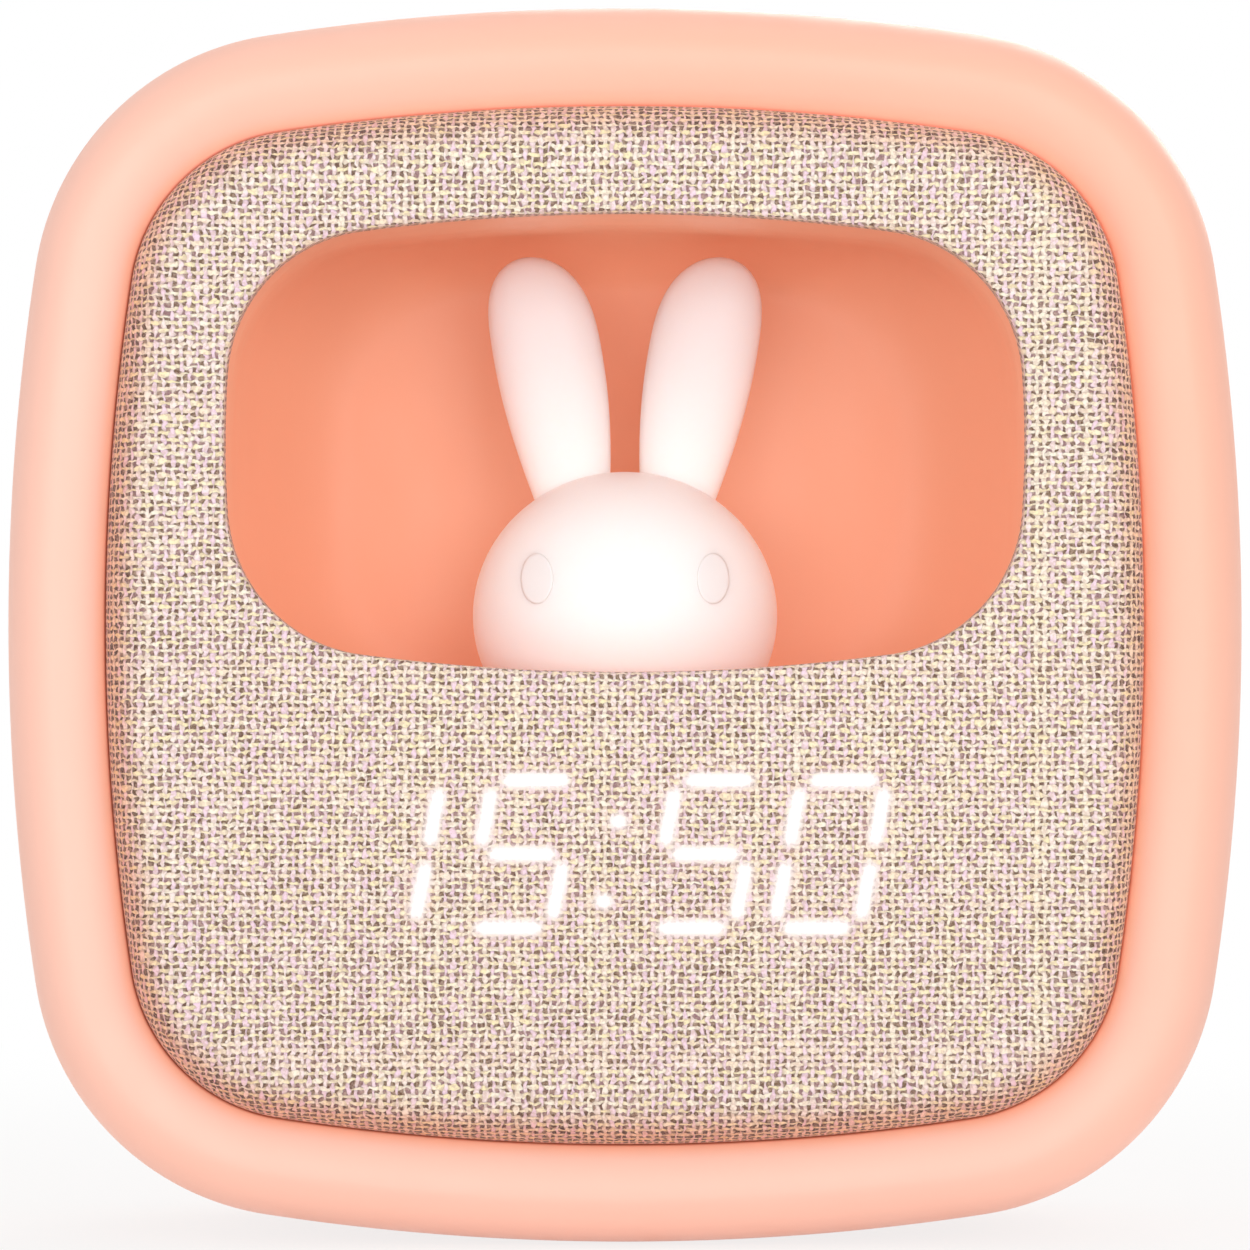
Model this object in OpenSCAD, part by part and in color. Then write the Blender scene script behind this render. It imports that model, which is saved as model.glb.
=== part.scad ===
// Kids alarm clock with a night light: a soft-cornered case with a fabric front,
// a lit figure in an alcove and a slanted digital display that shines through the weave.
// Front towards -Y, up +Z. The base pad stands at z = 0, and x = 0 is the middle.

/* [Case] */
// Width of the case at its widest
case_w = 130; // [128:1:170]
// Height of the case at its widest
case_h = 130; // [128:1:170]
// Distance from the widest ring of the case back to the rear cover's face
case_depth = 47; // [44:1:70]
// Radius of the nearly flat sides
side_radius = 250; // [220:5:400]
// Radius of the corners
corner_radius = 29; // [26:0.5:32]
// Wall of the moulded shells
wall = 2.2; // [1.8:0.1:3]
// How much the case narrows towards its back, on each side
back_taper = 1.5; // [0:0.1:3]
// Width of the rolled rim around the fabric
rim_w = 11; // [9:0.5:14]
// How far the rim's ridge stands in front of the widest ring
rim_roll = 8.6; // [6:0.1:10]

/* [Fabric front] */
// Thickness of the fabric
fabric_t = 0.8; // [0.5:0.1:1.2]
// Thickness of the plate under the fabric
fascia_t = 2; // [1.6:0.1:3]
// How far the fabric's crown stands in front of the rim's ridge
face_proud = 2.4; // [1:0.1:4]
// How much lower the fabric lies at the border of its flat than at its middle
face_crown = 0.8; // [0.4:0.1:1.2]
// Width of the rolled border of the fabric
face_roll = 6; // [5:0.5:8]
// Running gap between the fabric and the rim
face_gap = 0.3; // [0.2:0.05:0.6]

/* [Alcove] */
// Width of the alcove's window
window_w = 83.4; // [76:0.2:88]
// Height of the alcove's window
window_h = 47.8; // [44:0.2:52]
// Height of the window's centre above the centre of the case
window_rise = 19; // [17:0.1:20]
// Depth of the alcove from the fabric's back to its rear wall
alcove_depth = 33; // [31:0.5:36]
// Wall of the alcove liner
liner_t = 1.6; // [1.2:0.1:2]
// Drop of the alcove's floor below the window's lower edge
floor_drop = 6.6; // [6:0.1:7]

/* [Figure] */
// Width of the head
head_w = 32.6; // [28:0.2:34]
// Height of the head
head_h = 30.8; // [26:0.2:32]
// Depth of the head
head_d = 26; // [22:0.2:28]
// Length of an ear
ear_len = 31; // [24:0.5:34]
// Width of an ear at its widest
ear_w = 11.8; // [8:0.2:12]
// Wall of the hollow figure
figure_t = 1.6; // [1.2:0.1:2.4]

/* [Display] */
// Height of a digit, between the middles of its end segments
digit_h = 15.3; // [13:0.1:16]
// Width of a digit, between the middles of its side segments
digit_w = 8.8; // [7:0.1:9.4]
// Width of a segment
segment_w = 1.6; // [1.2:0.1:2]
// Slant of the digits
digit_slant = 10.5; // [0:0.5:12]
// How far the display's centre lies below the centre of the case
display_drop = 23.8; // [23:0.1:25]
// Depth of the display block
display_d = 10.2; // [8:0.1:12]

/* [Rear] */
// Diameter of a button
button_d = 9; // [7:0.1:10]
// Travel of a button
button_travel = 0.8; // [0.5:0.05:1]
// Distance between the centres of two buttons
button_pitch = 14; // [12.6:0.1:17]
// How far a button stands behind the rear cover
button_proud = 2; // [1.2:0.1:2.4]
// Travel of the slide switch
switch_travel = 3; // [2:0.1:4]
// Diameter of the speaker
speaker_d = 36; // [30:0.5:36]
// Diameter of a cell
cell_d = 10.5; // [10.5:0.1:10.5]
// Length of a cell
cell_len = 44.5; // [44.5:0.1:44.5]
// Clearance around each piece that moves
run_gap = 0.3; // [0.2:0.05:0.4]

/* [Base] */
// Width of the base pad
pad_w = 26; // [26:1:40]
// Length of the base pad, front to back
pad_len = 28; // [28:1:36]
// How far the base pad stands below the case
pad_proud = 0.2; // [0.1:0.1:1]

/* [Hidden] */

// Heights and depths that the pieces share
axis_z = pad_proud + case_h / 2;
widest_y = -19;
ridge_y = widest_y - rim_roll;
face_y = ridge_y - face_proud;
back_y = widest_y + case_depth;
cover_t = 2.2;
cover_depth = 8;
seam_y = back_y - cover_depth;
cover_in_y = back_y - cover_t;
shelf_t = 2;
shelf_y = widest_y + 2;
shelf_w = 8.5;
liner_clear = 0.6;
shelf_d = min(rim_w + shelf_w, (case_w - window_w) / 2 - liner_t - liner_clear);
crease_drop = 4.4;

// Facets of the lofted shells: an outline has 4 * (2 * side_n + corner_n) points
side_n = 3;
corner_n = 10;
quarter_n = 2 * side_n + corner_n;
ring_n = 4 * quarter_n;

// An outline is [half width, half height, radius of top and bottom, radius of the sides, corner radius]
case_outline = [case_w / 2, case_h / 2, side_radius, side_radius, corner_radius];
function window_like(hw, hh) = [hw, hh, 210, 110, 16];
window_outline = window_like(window_w / 2, window_h / 2);

// Centre of the corner arc that touches both the top arc and the side arc
function corner_centre(o) =
    let (a = [0, o[1] - o[2]], b = [o[0] - o[3], 0], ra = o[2] - o[4], rb = o[3] - o[4])
    let (d = norm(b - a), u = (b - a) / d, t = (ra * ra - rb * rb + d * d) / (2 * d))
    a + u * t + [u[1], -u[0]] * sqrt(ra * ra - t * t);

// Point j of a quarter outline, moved inwards by d: side arc, corner arc, then top arc
function quarter_point(o, d, j) =
    let (c = corner_centre(o), fs = atan2(c[1], c[0] - o[0] + o[3]), ft = atan2(c[1] - o[1] + o[2], c[0]))
    j <= side_n ?
        let (f = fs * j / side_n) [o[0] - o[3], 0] + (o[3] - d) * [cos(f), sin(f)]
    : j >= side_n + corner_n ?
        let (f = ft + (90 - ft) * (j - side_n - corner_n) / side_n)
        [0, o[1] - o[2]] + (o[2] - d) * [cos(f), sin(f)]
    :
        let (f = fs + (ft - fs) * (j - side_n) / corner_n) c + (o[4] - d) * [cos(f), sin(f)];

// Point k of the whole outline, counted anticlockwise from +X, moved inwards by d
function outline_point(o, d, k) =
    let (q = floor(k / quarter_n), j = k % quarter_n)
    let (p = quarter_point(o, d, q % 2 == 0 ? j : quarter_n - j))
    [q == 1 || q == 2 ? -p[0] : p[0], q > 1 ? -p[1] : p[1]];

function outline(o, d) = [for (k = [0 : ring_n - 1]) outline_point(o, d, k)];

// A ring of the outline at depth y, with its middle at height z
function ring(o, d, y, z = axis_z) = [for (p = outline(o, d)) [p[0], y, p[1] + z]];

// Point by point mean of two rings
function between(a, b, t) = [for (k = [0 : len(a) - 1]) a[k] * (1 - t) + b[k] * t];

// Closed tube through a list of rings, the last joined to the first
module ring_loft(rings) {
    n = len(rings[0]);
    m = len(rings);
    points = [for (r = rings) each r];
    faces = [for (i = [0 : m - 1]) for (k = [0 : n - 1])
        let (a = i * n + k, b = i * n + (k + 1) % n, e = ((i + 1) % m) * n)
        each [[a, e + k, e + (k + 1) % n], [a, e + (k + 1) % n, b]]];
    polyhedron(points, faces, convexity = 8);
}

// Solid through a list of rings, closed by its first and its last ring
module capped_loft(rings) {
    n = len(rings[0]);
    m = len(rings);
    points = [for (r = rings) each r];
    sides = [for (i = [0 : m - 2]) for (k = [0 : n - 1])
        let (a = i * n + k, b = i * n + (k + 1) % n, e = (i + 1) * n)
        each [[a, e + k, e + (k + 1) % n], [a, e + (k + 1) % n, b]]];
    polyhedron(points, concat(sides, [[for (k = [0 : n - 1]) k]],
        [[for (k = [n - 1 : -1 : 0]) (m - 1) * n + k]]), convexity = 8);
}

// Rod along Y from y0 to y1 at (x, z)
module rod(d, y0, y1, x = 0, z = 0) {
    translate([x, y0, z]) rotate([-90, 0, 0]) cylinder(d = d, h = y1 - y0, $fn = 48);
}

// Flat drawing in x and z, made solid from y0 to y1
module plate(y0, y1) {
    translate([0, y1, 0]) rotate([90, 0, 0]) linear_extrude(y1 - y0) children();
}

// Box between two depths, w wide and h high, centred on (x, z)
module block(w, h, y0, y1, x = 0, z = 0) {
    translate([x - w / 2, y0, z - h / 2]) cube([w, y1 - y0, h]);
}

// Rounded slot drawing, w wide and h high
module slot_2d(w, h) {
    square([w - h, h], center = true);
    for (s = [-1, 1]) translate([s * (w - h) / 2, 0]) circle(d = h, $fn = 32);
}

// Pan-head screw along Y: its head lies behind y, its shank in front, with dir -1 the other way
module screw(d, len, head_d, head_h, x, y, z, dir = 1) {
    translate([x, y, z]) rotate([dir * 90, 0, 0]) {
        cylinder(d = d, h = len, $fn = 24);
        difference() {
            translate([0, 0, -head_h]) cylinder(d = head_d, h = head_h, $fn = 32);
            for (a = [0, 90]) rotate([0, 0, a])
                translate([-head_d * 0.3, -0.3, -head_h - 1]) cube([head_d * 0.6, 0.6, 1 + head_h * 0.55]);
        }
    }
}

// Round lead through the listed points, with eight sides
module lead(points, d) {
    n = 8;
    last = len(points) - 1;
    rings = [for (i = [0 : last])
        let (t = points[min(i + 1, last)] - points[max(i - 1, 0)], u = t / norm(t))
        let (v = cross(u, abs(u[2]) > 0.8 ? [1, 0, 0] : [0, 0, 1]), w = v / norm(v), x = cross(u, w))
        [for (k = [0 : n - 1]) points[i] + d / 2 * (cos(360 * k / n) * w + sin(360 * k / n) * x)]];
    capped_loft(rings);
}

// Smooth run of points from a to b that leaves along u and arrives along v
function bend(a, u, b, v, n) =
    [for (i = [0 : n]) let (t = i / n, s = 1 - t)
        s * s * s * a + 3 * s * s * t * (a + u) + 3 * s * t * t * (b - v) + t * t * t * b];

// ---- Case ----

ridge_d = 5.4;
crease_y = ridge_y + crease_drop;
corner_k = [for (q = [0 : 3]) q * quarter_n + quarter_n / 2];
housing_boss_d = 9.5;
housing_boss_w = 7;
housing_boss_points = [for (k = corner_k) outline_point(case_outline, housing_boss_d, k)];

// Narrowing of the case at depth y
function taper(y) = back_taper * pow(max(0, (y - widest_y) / (seam_y - widest_y)), 2);

// Pad seat in the underside
pad_gap = 0.2;
pad_top = pad_proud + 3;
seat_t = 2;
seat_margin = 2;
seat_top = pad_top + seat_t;
seat_low = pad_proud + wall - 0.1;

// Places around the fabric where the fascia is screwed to the shell's shelf
fascia_boss_w = 5;
fascia_d = rim_w + face_gap + fabric_t;
fascia_boss_d = fascia_d + fascia_t + fascia_boss_w / 2 - 0.4;
fascia_boss_k = concat(corner_k, [0, 2 * quarter_n]);
fascia_boss_points = [for (k = fascia_boss_k) outline_point(case_outline, fascia_boss_d, k)];

module at_points(points) {
    for (p = points) translate([p[0], 0, p[1] + axis_z]) children();
}

module front_shell() {
    inner_d = rim_w - wall;
    inner_y = crease_y + wall;
    outside = concat(
        [for (t = [1, 0.7, 0.4]) let (y = widest_y + (seam_y - widest_y) * t) [taper(y), y]],
        [for (a = [0 : 15 : 90]) [ridge_d * (1 - cos(a)), widest_y - rim_roll * sin(a)]],
        [for (a = [30, 60, 90])
            [ridge_d + (rim_w - ridge_d) * sin(a), ridge_y + crease_drop * (1 - cos(a))]]);
    shelf = [
        [rim_w, shelf_y], [shelf_d, shelf_y],
        [shelf_d, shelf_y + shelf_t], [inner_d, shelf_y + shelf_t]
    ];
    inside = concat(
        [for (a = [0, 45, 90])
            [ridge_d + (inner_d - ridge_d) * cos(a), inner_y + (ridge_y + wall - inner_y) * sin(a)]],
        [for (a = [30, 60, 90])
            [ridge_d - (ridge_d - wall) * sin(a), widest_y - (widest_y - ridge_y - wall) * cos(a)]],
        [for (t = [0.5, 1]) let (y = widest_y + (seam_y - widest_y) * t) [wall + taper(y), y]]);
    color("peachpuff") difference() {
        union() {
            ring_loft([for (p = concat(outside, shelf, inside)) ring(case_outline, p[0], p[1])]);
            at_points(housing_boss_points) rod(housing_boss_w, shelf_y + shelf_t - 0.5, seam_y);
            for (p = housing_boss_points) housing_rib(p);
            block(pad_w + 2 * (pad_gap + seat_margin), seat_top - seat_low,
                -pad_len / 2 - pad_gap - seat_margin, pad_len / 2 + pad_gap + seat_margin,
                0, (seat_top + seat_low) / 2);
        }
        at_points(housing_boss_points)
            rod(housing_screw_d + thread_gap, seam_y + well_floor - housing_screw_len - 0.5, seam_y + 1);
        at_points(fascia_boss_points) rod(fascia_screw_d + clear_gap, shelf_y - 1, shelf_y + shelf_t + 1);
        block(pad_w + 2 * pad_gap, pad_top + 1, -pad_len / 2 - pad_gap, pad_len / 2 + pad_gap,
            0, (pad_top - 1) / 2);
    }
}

// Web that ties a housing boss to the wall beside it
module housing_rib(p) {
    reach = housing_boss_d - wall * 0.8 - back_taper * 0.1;
    sx = sign(p[0]);
    sz = sign(p[1]);
    translate([p[0], 0, p[1] + axis_z]) rotate([0, -sz * (sx > 0 ? 45 : 135), 0])
        translate([0, shelf_y + shelf_t - 0.5, -1]) cube([reach, seam_y - shelf_y - shelf_t - 5, 2]);
}

// ---- Rear cover and what is set in it ----

housing_screw_d = 2.5;
housing_screw_len = 14;
fascia_screw_d = 1.9;
fascia_screw_len = 8;
board_screw_d = 1.9;
speaker_screw_d = 1.7;
display_screw_d = 1.7;
liner_screw_d = 1.5;
lamp_screw_d = 1.6;
thread_gap = 0.1;
clear_gap = 0.5;
well_d = 6;
well_floor = 2.5;
button_rise = 34.7;
button_z = axis_z + button_rise;
function button_x(i) = (2 - i) * button_pitch;

control_rise = 12;
control_x = 30;
control_z = axis_z + control_rise;
knob_w = 4;
knob_h = 3;
usb_w = 9;
usb_h = 3.3;
usb_gap = 0.3;

speaker_post_w = 5;
speaker_x = -27;
speaker_z = axis_z - 33;
speaker_screw_r = speaker_d / 2 + speaker_post_w / 2 + 0.2;
speaker_flange_y = cover_in_y - 1.8;
speaker_screw_points = [for (a = [50, 170, 290]) speaker_screw_r * [cos(a), sin(a)] + [speaker_x, speaker_z]];

cell_gap = 0.3;
tray_t = 1.6;
contact_len = 2.6;
tray_in_w = 3 * cell_d + 2 * cell_gap;
tray_in_h = cell_len + 2 * contact_len;
tray_w = tray_in_w + 2 * tray_t;
tray_h = tray_in_h + 2 * tray_t;
tray_d = cell_d + tray_t + 1.5;
tray_x = 18.5;
tray_z = axis_z - 26.5;
tray_y = cover_in_y - tray_d;
cell_y = tray_y + tray_t + 0.1 + cell_d / 2;
door_t = 1.4;
door_step = 1.4;
door_w = tray_in_w + 2 * door_step;
door_h = tray_in_h - 4 + 2 * door_step;
door_seat_y = back_y - door_t - run_gap;
door_screw_z = tray_z + tray_h / 2 + 2.8;
tab_w = 10;
tab_top = door_screw_z + 3;
tab_bottom = tray_z + door_h / 2 - 1;

board_t = 1.6;
board_w = 84;
board_h = 43;
board_z = axis_z + 25.5;
board_back_y = cover_in_y - 8.2;
board_front_y = board_back_y - board_t;
board_post_w = 6;
board_post_points = [for (sx = [-1, 1], sz = [-1, 1])
    [sx * (board_w / 2 - 4), board_z + sz * (board_h / 2 - 4)]];

module rear_cover() {
    outer = [[10, back_y], [7.2, back_y - 0.4], [4.6, back_y - 1.7], [2.7, back_y - 3.9],
        [back_taper + 0.35, back_y - 6], [back_taper, seam_y]];
    inner = [[4.6, cover_in_y - 3.2], [5.8, cover_in_y - 1.4], [7.6, cover_in_y - 0.35], [9.4, cover_in_y]];
    color("peachpuff") difference() {
        union() {
            capped_loft([for (p = concat(outer, [[back_taper + wall, seam_y]], inner))
                ring(case_outline, p[0], p[1])]);
            at_points(housing_boss_points) rod(well_d + 3, seam_y, cover_in_y + 1);
            for (p = board_post_points) rod(board_post_w, board_back_y, cover_in_y + 1, p[0], p[1]);
            for (p = speaker_screw_points) rod(speaker_post_w, speaker_flange_y, cover_in_y + 1, p[0], p[1]);
            rod(5, cover_in_y - 5, cover_in_y + 1, tray_x, door_screw_z);
        }
        at_points(housing_boss_points) {
            rod(well_d, seam_y + well_floor, back_y + 1);
            rod(housing_screw_d + clear_gap, seam_y - 1, seam_y + well_floor + 1);
        }
        for (p = board_post_points)
            rod(board_screw_d + thread_gap, board_back_y - 1, cover_in_y - 1, p[0], p[1]);
        for (p = speaker_screw_points)
            rod(speaker_screw_d + thread_gap, speaker_flange_y - 1, cover_in_y + 1.3, p[0], p[1]);
        for (i = [0 : 4]) rod(button_d + 2 * run_gap, cover_in_y - 1, back_y + 1, button_x(i), button_z);
        translate([-control_x, 0, control_z]) plate(cover_in_y - 1, back_y + 1)
            square([knob_w + switch_travel + 2 * run_gap, knob_h + 2 * run_gap], center = true);
        translate([control_x, 0, control_z]) plate(cover_in_y - 1, back_y + 1)
            slot_2d(usb_w + 2 * usb_gap, usb_h + 2 * usb_gap);
        grille_holes();
        block(tray_in_w, tray_in_h - 4, cover_in_y - 1, back_y, tray_x, tray_z);
        block(door_w + 2 * run_gap, door_h + 2 * run_gap, door_seat_y, back_y + 1, tray_x, tray_z);
        block(tab_w + 2 * run_gap, tab_top + run_gap - tab_bottom, door_seat_y, back_y + 1,
            tray_x, (tab_top + run_gap + tab_bottom) / 2);
        rod(2.6, cover_in_y - 6, back_y, tray_x, door_screw_z);
    }
}

// Sound holes in rings in front of the speaker
module grille_holes() {
    pitch = 4.4;
    for (n = [0 : 3]) for (i = [0 : max(0, 6 * n - 1)])
        rod(2.2, cover_in_y - 1, back_y + 1,
            speaker_x + n * pitch * cos(60 * i / max(1, n)), speaker_z + n * pitch * sin(60 * i / max(1, n)));
}

module rear_button(i, shade) {
    r = button_d / 2;
    edge = 0.9;
    top = back_y + button_proud;
    flange_y = cover_in_y - run_gap;
    tip_y = board_back_y + 3.9 + button_travel + run_gap;
    color(shade) translate([button_x(i), 0, button_z]) rotate([-90, 0, 0]) rotate_extrude($fn = 48)
        difference() {
            union() {
                translate([0, tip_y]) square([2, flange_y - tip_y]);
                translate([0, flange_y - 1.3]) square([r + 1.2, 1.3]);
                translate([0, flange_y - 0.1]) square([r, top - edge - flange_y + 0.1]);
                translate([0, top - edge - 0.1]) square([r - edge, edge + 0.1]);
                translate([r - edge, top - edge]) circle(r = edge, $fn = 32);
            }
            translate([-2 * r, tip_y - 1]) square([2 * r, top]);
        }
}

module mode_button() rear_button(0, "salmon");
module set_button() rear_button(1, "salmon");
module up_button() rear_button(2, "salmon");
module down_button() rear_button(3, "salmon");
module alarm_button() rear_button(4, "salmon");

module battery_door() {
    color("peachpuff") difference() {
        union() {
            block(door_w, door_h, back_y - door_t, back_y, tray_x, tray_z);
            block(tab_w, tab_top - tab_bottom, back_y - door_t, back_y, tray_x, (tab_top + tab_bottom) / 2);
        }
        rod(2.2, back_y - door_t - 1, back_y + 1, tray_x, door_screw_z);
        rod(4.2, back_y - 0.7, back_y + 1, tray_x, door_screw_z);
        for (i = [-2 : 2])
            block(12, 0.7, back_y - 0.4, back_y + 1, tray_x, tray_z - door_h / 2 + 9 + i * 1.8);
    }
}

module door_screw() {
    color("silver") translate([0, back_y - 0.7, 0]) screw(2, 5, 4, 0.7, tray_x, 0, door_screw_z);
}

module speaker_basket() {
    r = speaker_d / 2;
    f = speaker_flange_y;
    color("dimgray") translate([speaker_x, 0, speaker_z]) rotate([-90, 0, 0]) rotate_extrude($fn = 64)
        polygon([[r - 2.4, f + 1], [r, f + 1], [r, f], [r - 1.6, f], [r - 3.4, f - 5], [11.6, f - 8],
            [11.6, f - 9], [5, f - 9], [5, f - 8], [10.8, f - 8], [r - 4.4, f - 4.4]]);
}

module speaker_magnet() {
    f = speaker_flange_y - 9;
    color("silver") difference() {
        rod(22, f - 6, f, speaker_x, speaker_z);
        rod(7, f - 1.2, f + 1, speaker_x, speaker_z);
    }
}

module speaker_cone() {
    r = speaker_d / 2;
    f = speaker_flange_y;
    color("black") translate([speaker_x, 0, speaker_z]) rotate([-90, 0, 0]) rotate_extrude($fn = 64)
        polygon([[0, f - 5.2], [0, f - 4.4], [3, f - 4.9], [6, f - 6.4], [r - 5, f - 0.9], [r - 3.4, f - 0.1],
            [r - 2.6, f + 0.9], [r - 2.9, f + 0.3], [r - 3.5, f - 0.9], [r - 4.8, f - 1.9], [6, f - 7.3],
            [5, f - 7.3], [3, f - 5.7]]);
}

module speaker_gasket() {
    color("black") difference() {
        rod(speaker_d, speaker_flange_y + 1, cover_in_y, speaker_x, speaker_z);
        rod(speaker_d - 5, speaker_flange_y, cover_in_y + 1, speaker_x, speaker_z);
    }
}

module speaker_screws() {
    for (p = speaker_screw_points) color("silver")
        screw(speaker_screw_d, 3, 6.4, 1.1, p[0], speaker_flange_y, p[1], -1);
}

module battery_tray() {
    color("seashell") difference() {
        block(tray_w, tray_h, tray_y, cover_in_y, tray_x, tray_z);
        block(tray_in_w, tray_in_h, tray_y + tray_t, cover_in_y + 1, tray_x, tray_z);
        rod(4, tray_y - 1, tray_y + tray_t + 1, tray_x, tray_z + tray_in_h / 2 - 3);
    }
}

module battery_cells() {
    for (i = [-1 : 1]) let (s = i == 0 ? -1 : 1) color("gold")
        translate([tray_x + i * cell_d, cell_y, tray_z]) rotate([s > 0 ? 0 : 180, 0, 0]) {
            translate([0, 0, -cell_len / 2]) cylinder(d = cell_d - 0.1, h = cell_len - 1, $fn = 48);
            translate([0, 0, cell_len / 2 - 1.5]) cylinder(d = 3.8, h = 1.5, $fn = 32);
        }
}

// Conical coil at the flat end of each cell
module battery_springs() {
    turns = 2.5;
    wire = 0.5;
    n = 20;
    h = contact_len - wire;
    for (i = [-1 : 1]) let (s = i == 0 ? -1 : 1) color("silver")
        translate([tray_x + i * cell_d, cell_y, tray_z - s * tray_in_h / 2]) rotate([s > 0 ? 0 : 180, 0, 0])
            lead([for (j = [0 : n]) let (a = 360 * turns * j / n, r = 3.6 - 1.8 * j / n)
                [r * cos(a), r * sin(a), wire / 2 + h * j / n]], wire);
}

module battery_plates() {
    plate_t = 0.4;
    for (i = [-1 : 1]) let (s = i == 0 ? -1 : 1) color("silver") {
        z = tray_z + s * (tray_in_h / 2 - plate_t / 2);
        block(8, plate_t, tray_y + tray_t, tray_y + tray_t + 9, tray_x + i * cell_d, z);
        translate([tray_x + i * cell_d, cell_y, tray_z]) rotate([s > 0 ? 0 : 180, 0, 0])
            translate([0, 0, cell_len / 2]) cylinder(d1 = 2, d2 = 4, h = contact_len - plate_t / 2, $fn = 24);
    }
}

// ---- Main board and what stands on it ----

switch_body = 6;
plunger_d = 3.4;

module main_board() {
    color("seagreen") difference() {
        block(board_w, board_h, board_front_y, board_back_y, 0, board_z);
        for (p = board_post_points)
            rod(board_screw_d + clear_gap, board_front_y - 1, board_back_y + 1, p[0], p[1]);
    }
}

module main_chips() {
    color("black") {
        block(9, 9, board_front_y - 1.2, board_front_y, -10, board_z);
        block(5, 6.4, board_front_y - 1.4, board_front_y, 12, board_z - 6);
        block(8, 3.6, board_front_y - 1.8, board_front_y, 26, board_z + 6);
        for (i = [0 : 5]) block(2, 1.2, board_front_y - 0.7, board_front_y, -28 + 4 * i, board_z + 12);
    }
}

module main_capacitor() {
    color("black") rod(6.3, board_front_y - 5.4, board_front_y, 36, board_z - 6);
}

module backup_cell() {
    color("silver") {
        rod(12.5, board_front_y - 2.5, board_front_y - 0.5, -30, board_z - 6);
        block(14, 4, board_front_y - 0.5, board_front_y, -30, board_z - 6);
    }
}

module tact_switches() {
    for (i = [0 : 4]) color("dimgray") {
        block(switch_body, switch_body, board_back_y, board_back_y + 3.4, button_x(i), button_z);
        rod(plunger_d, board_back_y + 3.4, board_back_y + 3.9, button_x(i), button_z);
    }
}

module slide_switch_body() {
    top = cover_in_y - 2;
    color("silver") difference() {
        block(9.6, 4.4, board_back_y, top, -control_x, control_z);
        block(knob_w / 2 + switch_travel + 2 * run_gap, 1.2 + 2 * run_gap, top - 2, top + 1,
            -control_x, control_z);
    }
}

// The slider rests at its left end, as seen from the front
module power_slider() {
    top = cover_in_y - 2;
    x = -control_x - switch_travel / 2;
    color("dimgray") difference() {
        union() {
            block(knob_w / 2, 1.2, top - 1.6, top + 0.8, x, control_z);
            block(knob_w + 4, knob_h + 1.6, top + run_gap, top + 2 - run_gap, x, control_z);
            block(knob_w, knob_h, top + 1, back_y + 1.2, x, control_z);
        }
        for (i = [-1 : 1]) block(0.5, knob_h + 1, back_y + 0.8, back_y + 2, x + i * 1.1, control_z);
    }
}

module usb_socket() {
    color("silver") difference() {
        translate([control_x, 0, control_z]) plate(board_back_y, back_y - 0.3) slot_2d(usb_w, usb_h);
        translate([control_x, 0, control_z]) plate(board_back_y + 3, back_y)
            slot_2d(usb_w - 0.6, usb_h - 0.6);
    }
    color("black") block(6.6, 0.7, board_back_y + 3, back_y - 1.2, control_x, control_z);
}

module board_screws() {
    for (p = board_post_points) color("silver")
        screw(board_screw_d, 6, 4, 1.2, p[0], board_front_y, p[1], -1);
}

module housing_screws() {
    at_points(housing_boss_points) color("silver")
        screw(housing_screw_d, housing_screw_len, 5.2, 1.8, 0, seam_y + well_floor, 0);
}

module fascia_screws() {
    at_points(fascia_boss_points) color("silver")
        screw(fascia_screw_d, fascia_screw_len, 4.4, 1.4, 0, shelf_y + shelf_t, 0);
}

module base_pad() {
    r = 3;
    color("white") linear_extrude(pad_top) {
        square([pad_w - 2 * r, pad_len], center = true);
        square([pad_w, pad_len - 2 * r], center = true);
        for (sx = [-1, 1], sy = [-1, 1])
            translate([sx * (pad_w / 2 - r), sy * (pad_len / 2 - r)]) circle(r = r, $fn = 32);
    }
}

// ---- Fabric front ----

window_z = axis_z + window_rise;
border_d = rim_w + face_gap + face_roll;
roll_y = face_y + face_crown + face_roll;
flange_y = face_y + 2 * fabric_t + fascia_t + face_crown;
hem_w = 1.6;

// Depth of the fabric's surface at (x, z): flat at the border, crowned in the middle
function face_depth(x, z) =
    let (u = abs(x) / (case_w / 2 - border_d), v = abs(z - axis_z) / (case_h / 2 - border_d))
    face_y + face_crown * min(1, pow(pow(u, 4) + pow(v, 4), 0.5));

// Ring laid on the fabric's surface, sunk by a depth
function on_face(r, sunk) = [for (p = r) [p[0], face_depth(p[0], p[2]) + sunk, p[2]]];

// Rolled border at distance t under the fabric's surface, from the shelf to the flat
function border_rings(t) = concat([ring(case_outline, rim_w + face_gap + t, shelf_y)],
    [for (a = [0, 25, 50, 70]) ring(case_outline,
        rim_w + face_gap + t + (face_roll - t) * (1 - cos(a)), roll_y - (face_roll - t) * sin(a))]);

function window_ring(d, y) = ring(window_outline, d, y, window_z);

// Flat of the front at distance t under the fabric's surface, from the border to the window
function flat_rings(t, window_d) =
    let (border = ring(case_outline, border_d, 0), edge = window_ring(window_d, 0))
    [for (s = [0, 0.35, 0.7, 1]) on_face(between(border, edge, s), t)];

function backwards(list) = [for (i = [len(list) - 1 : -1 : 0]) list[i]];

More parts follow.
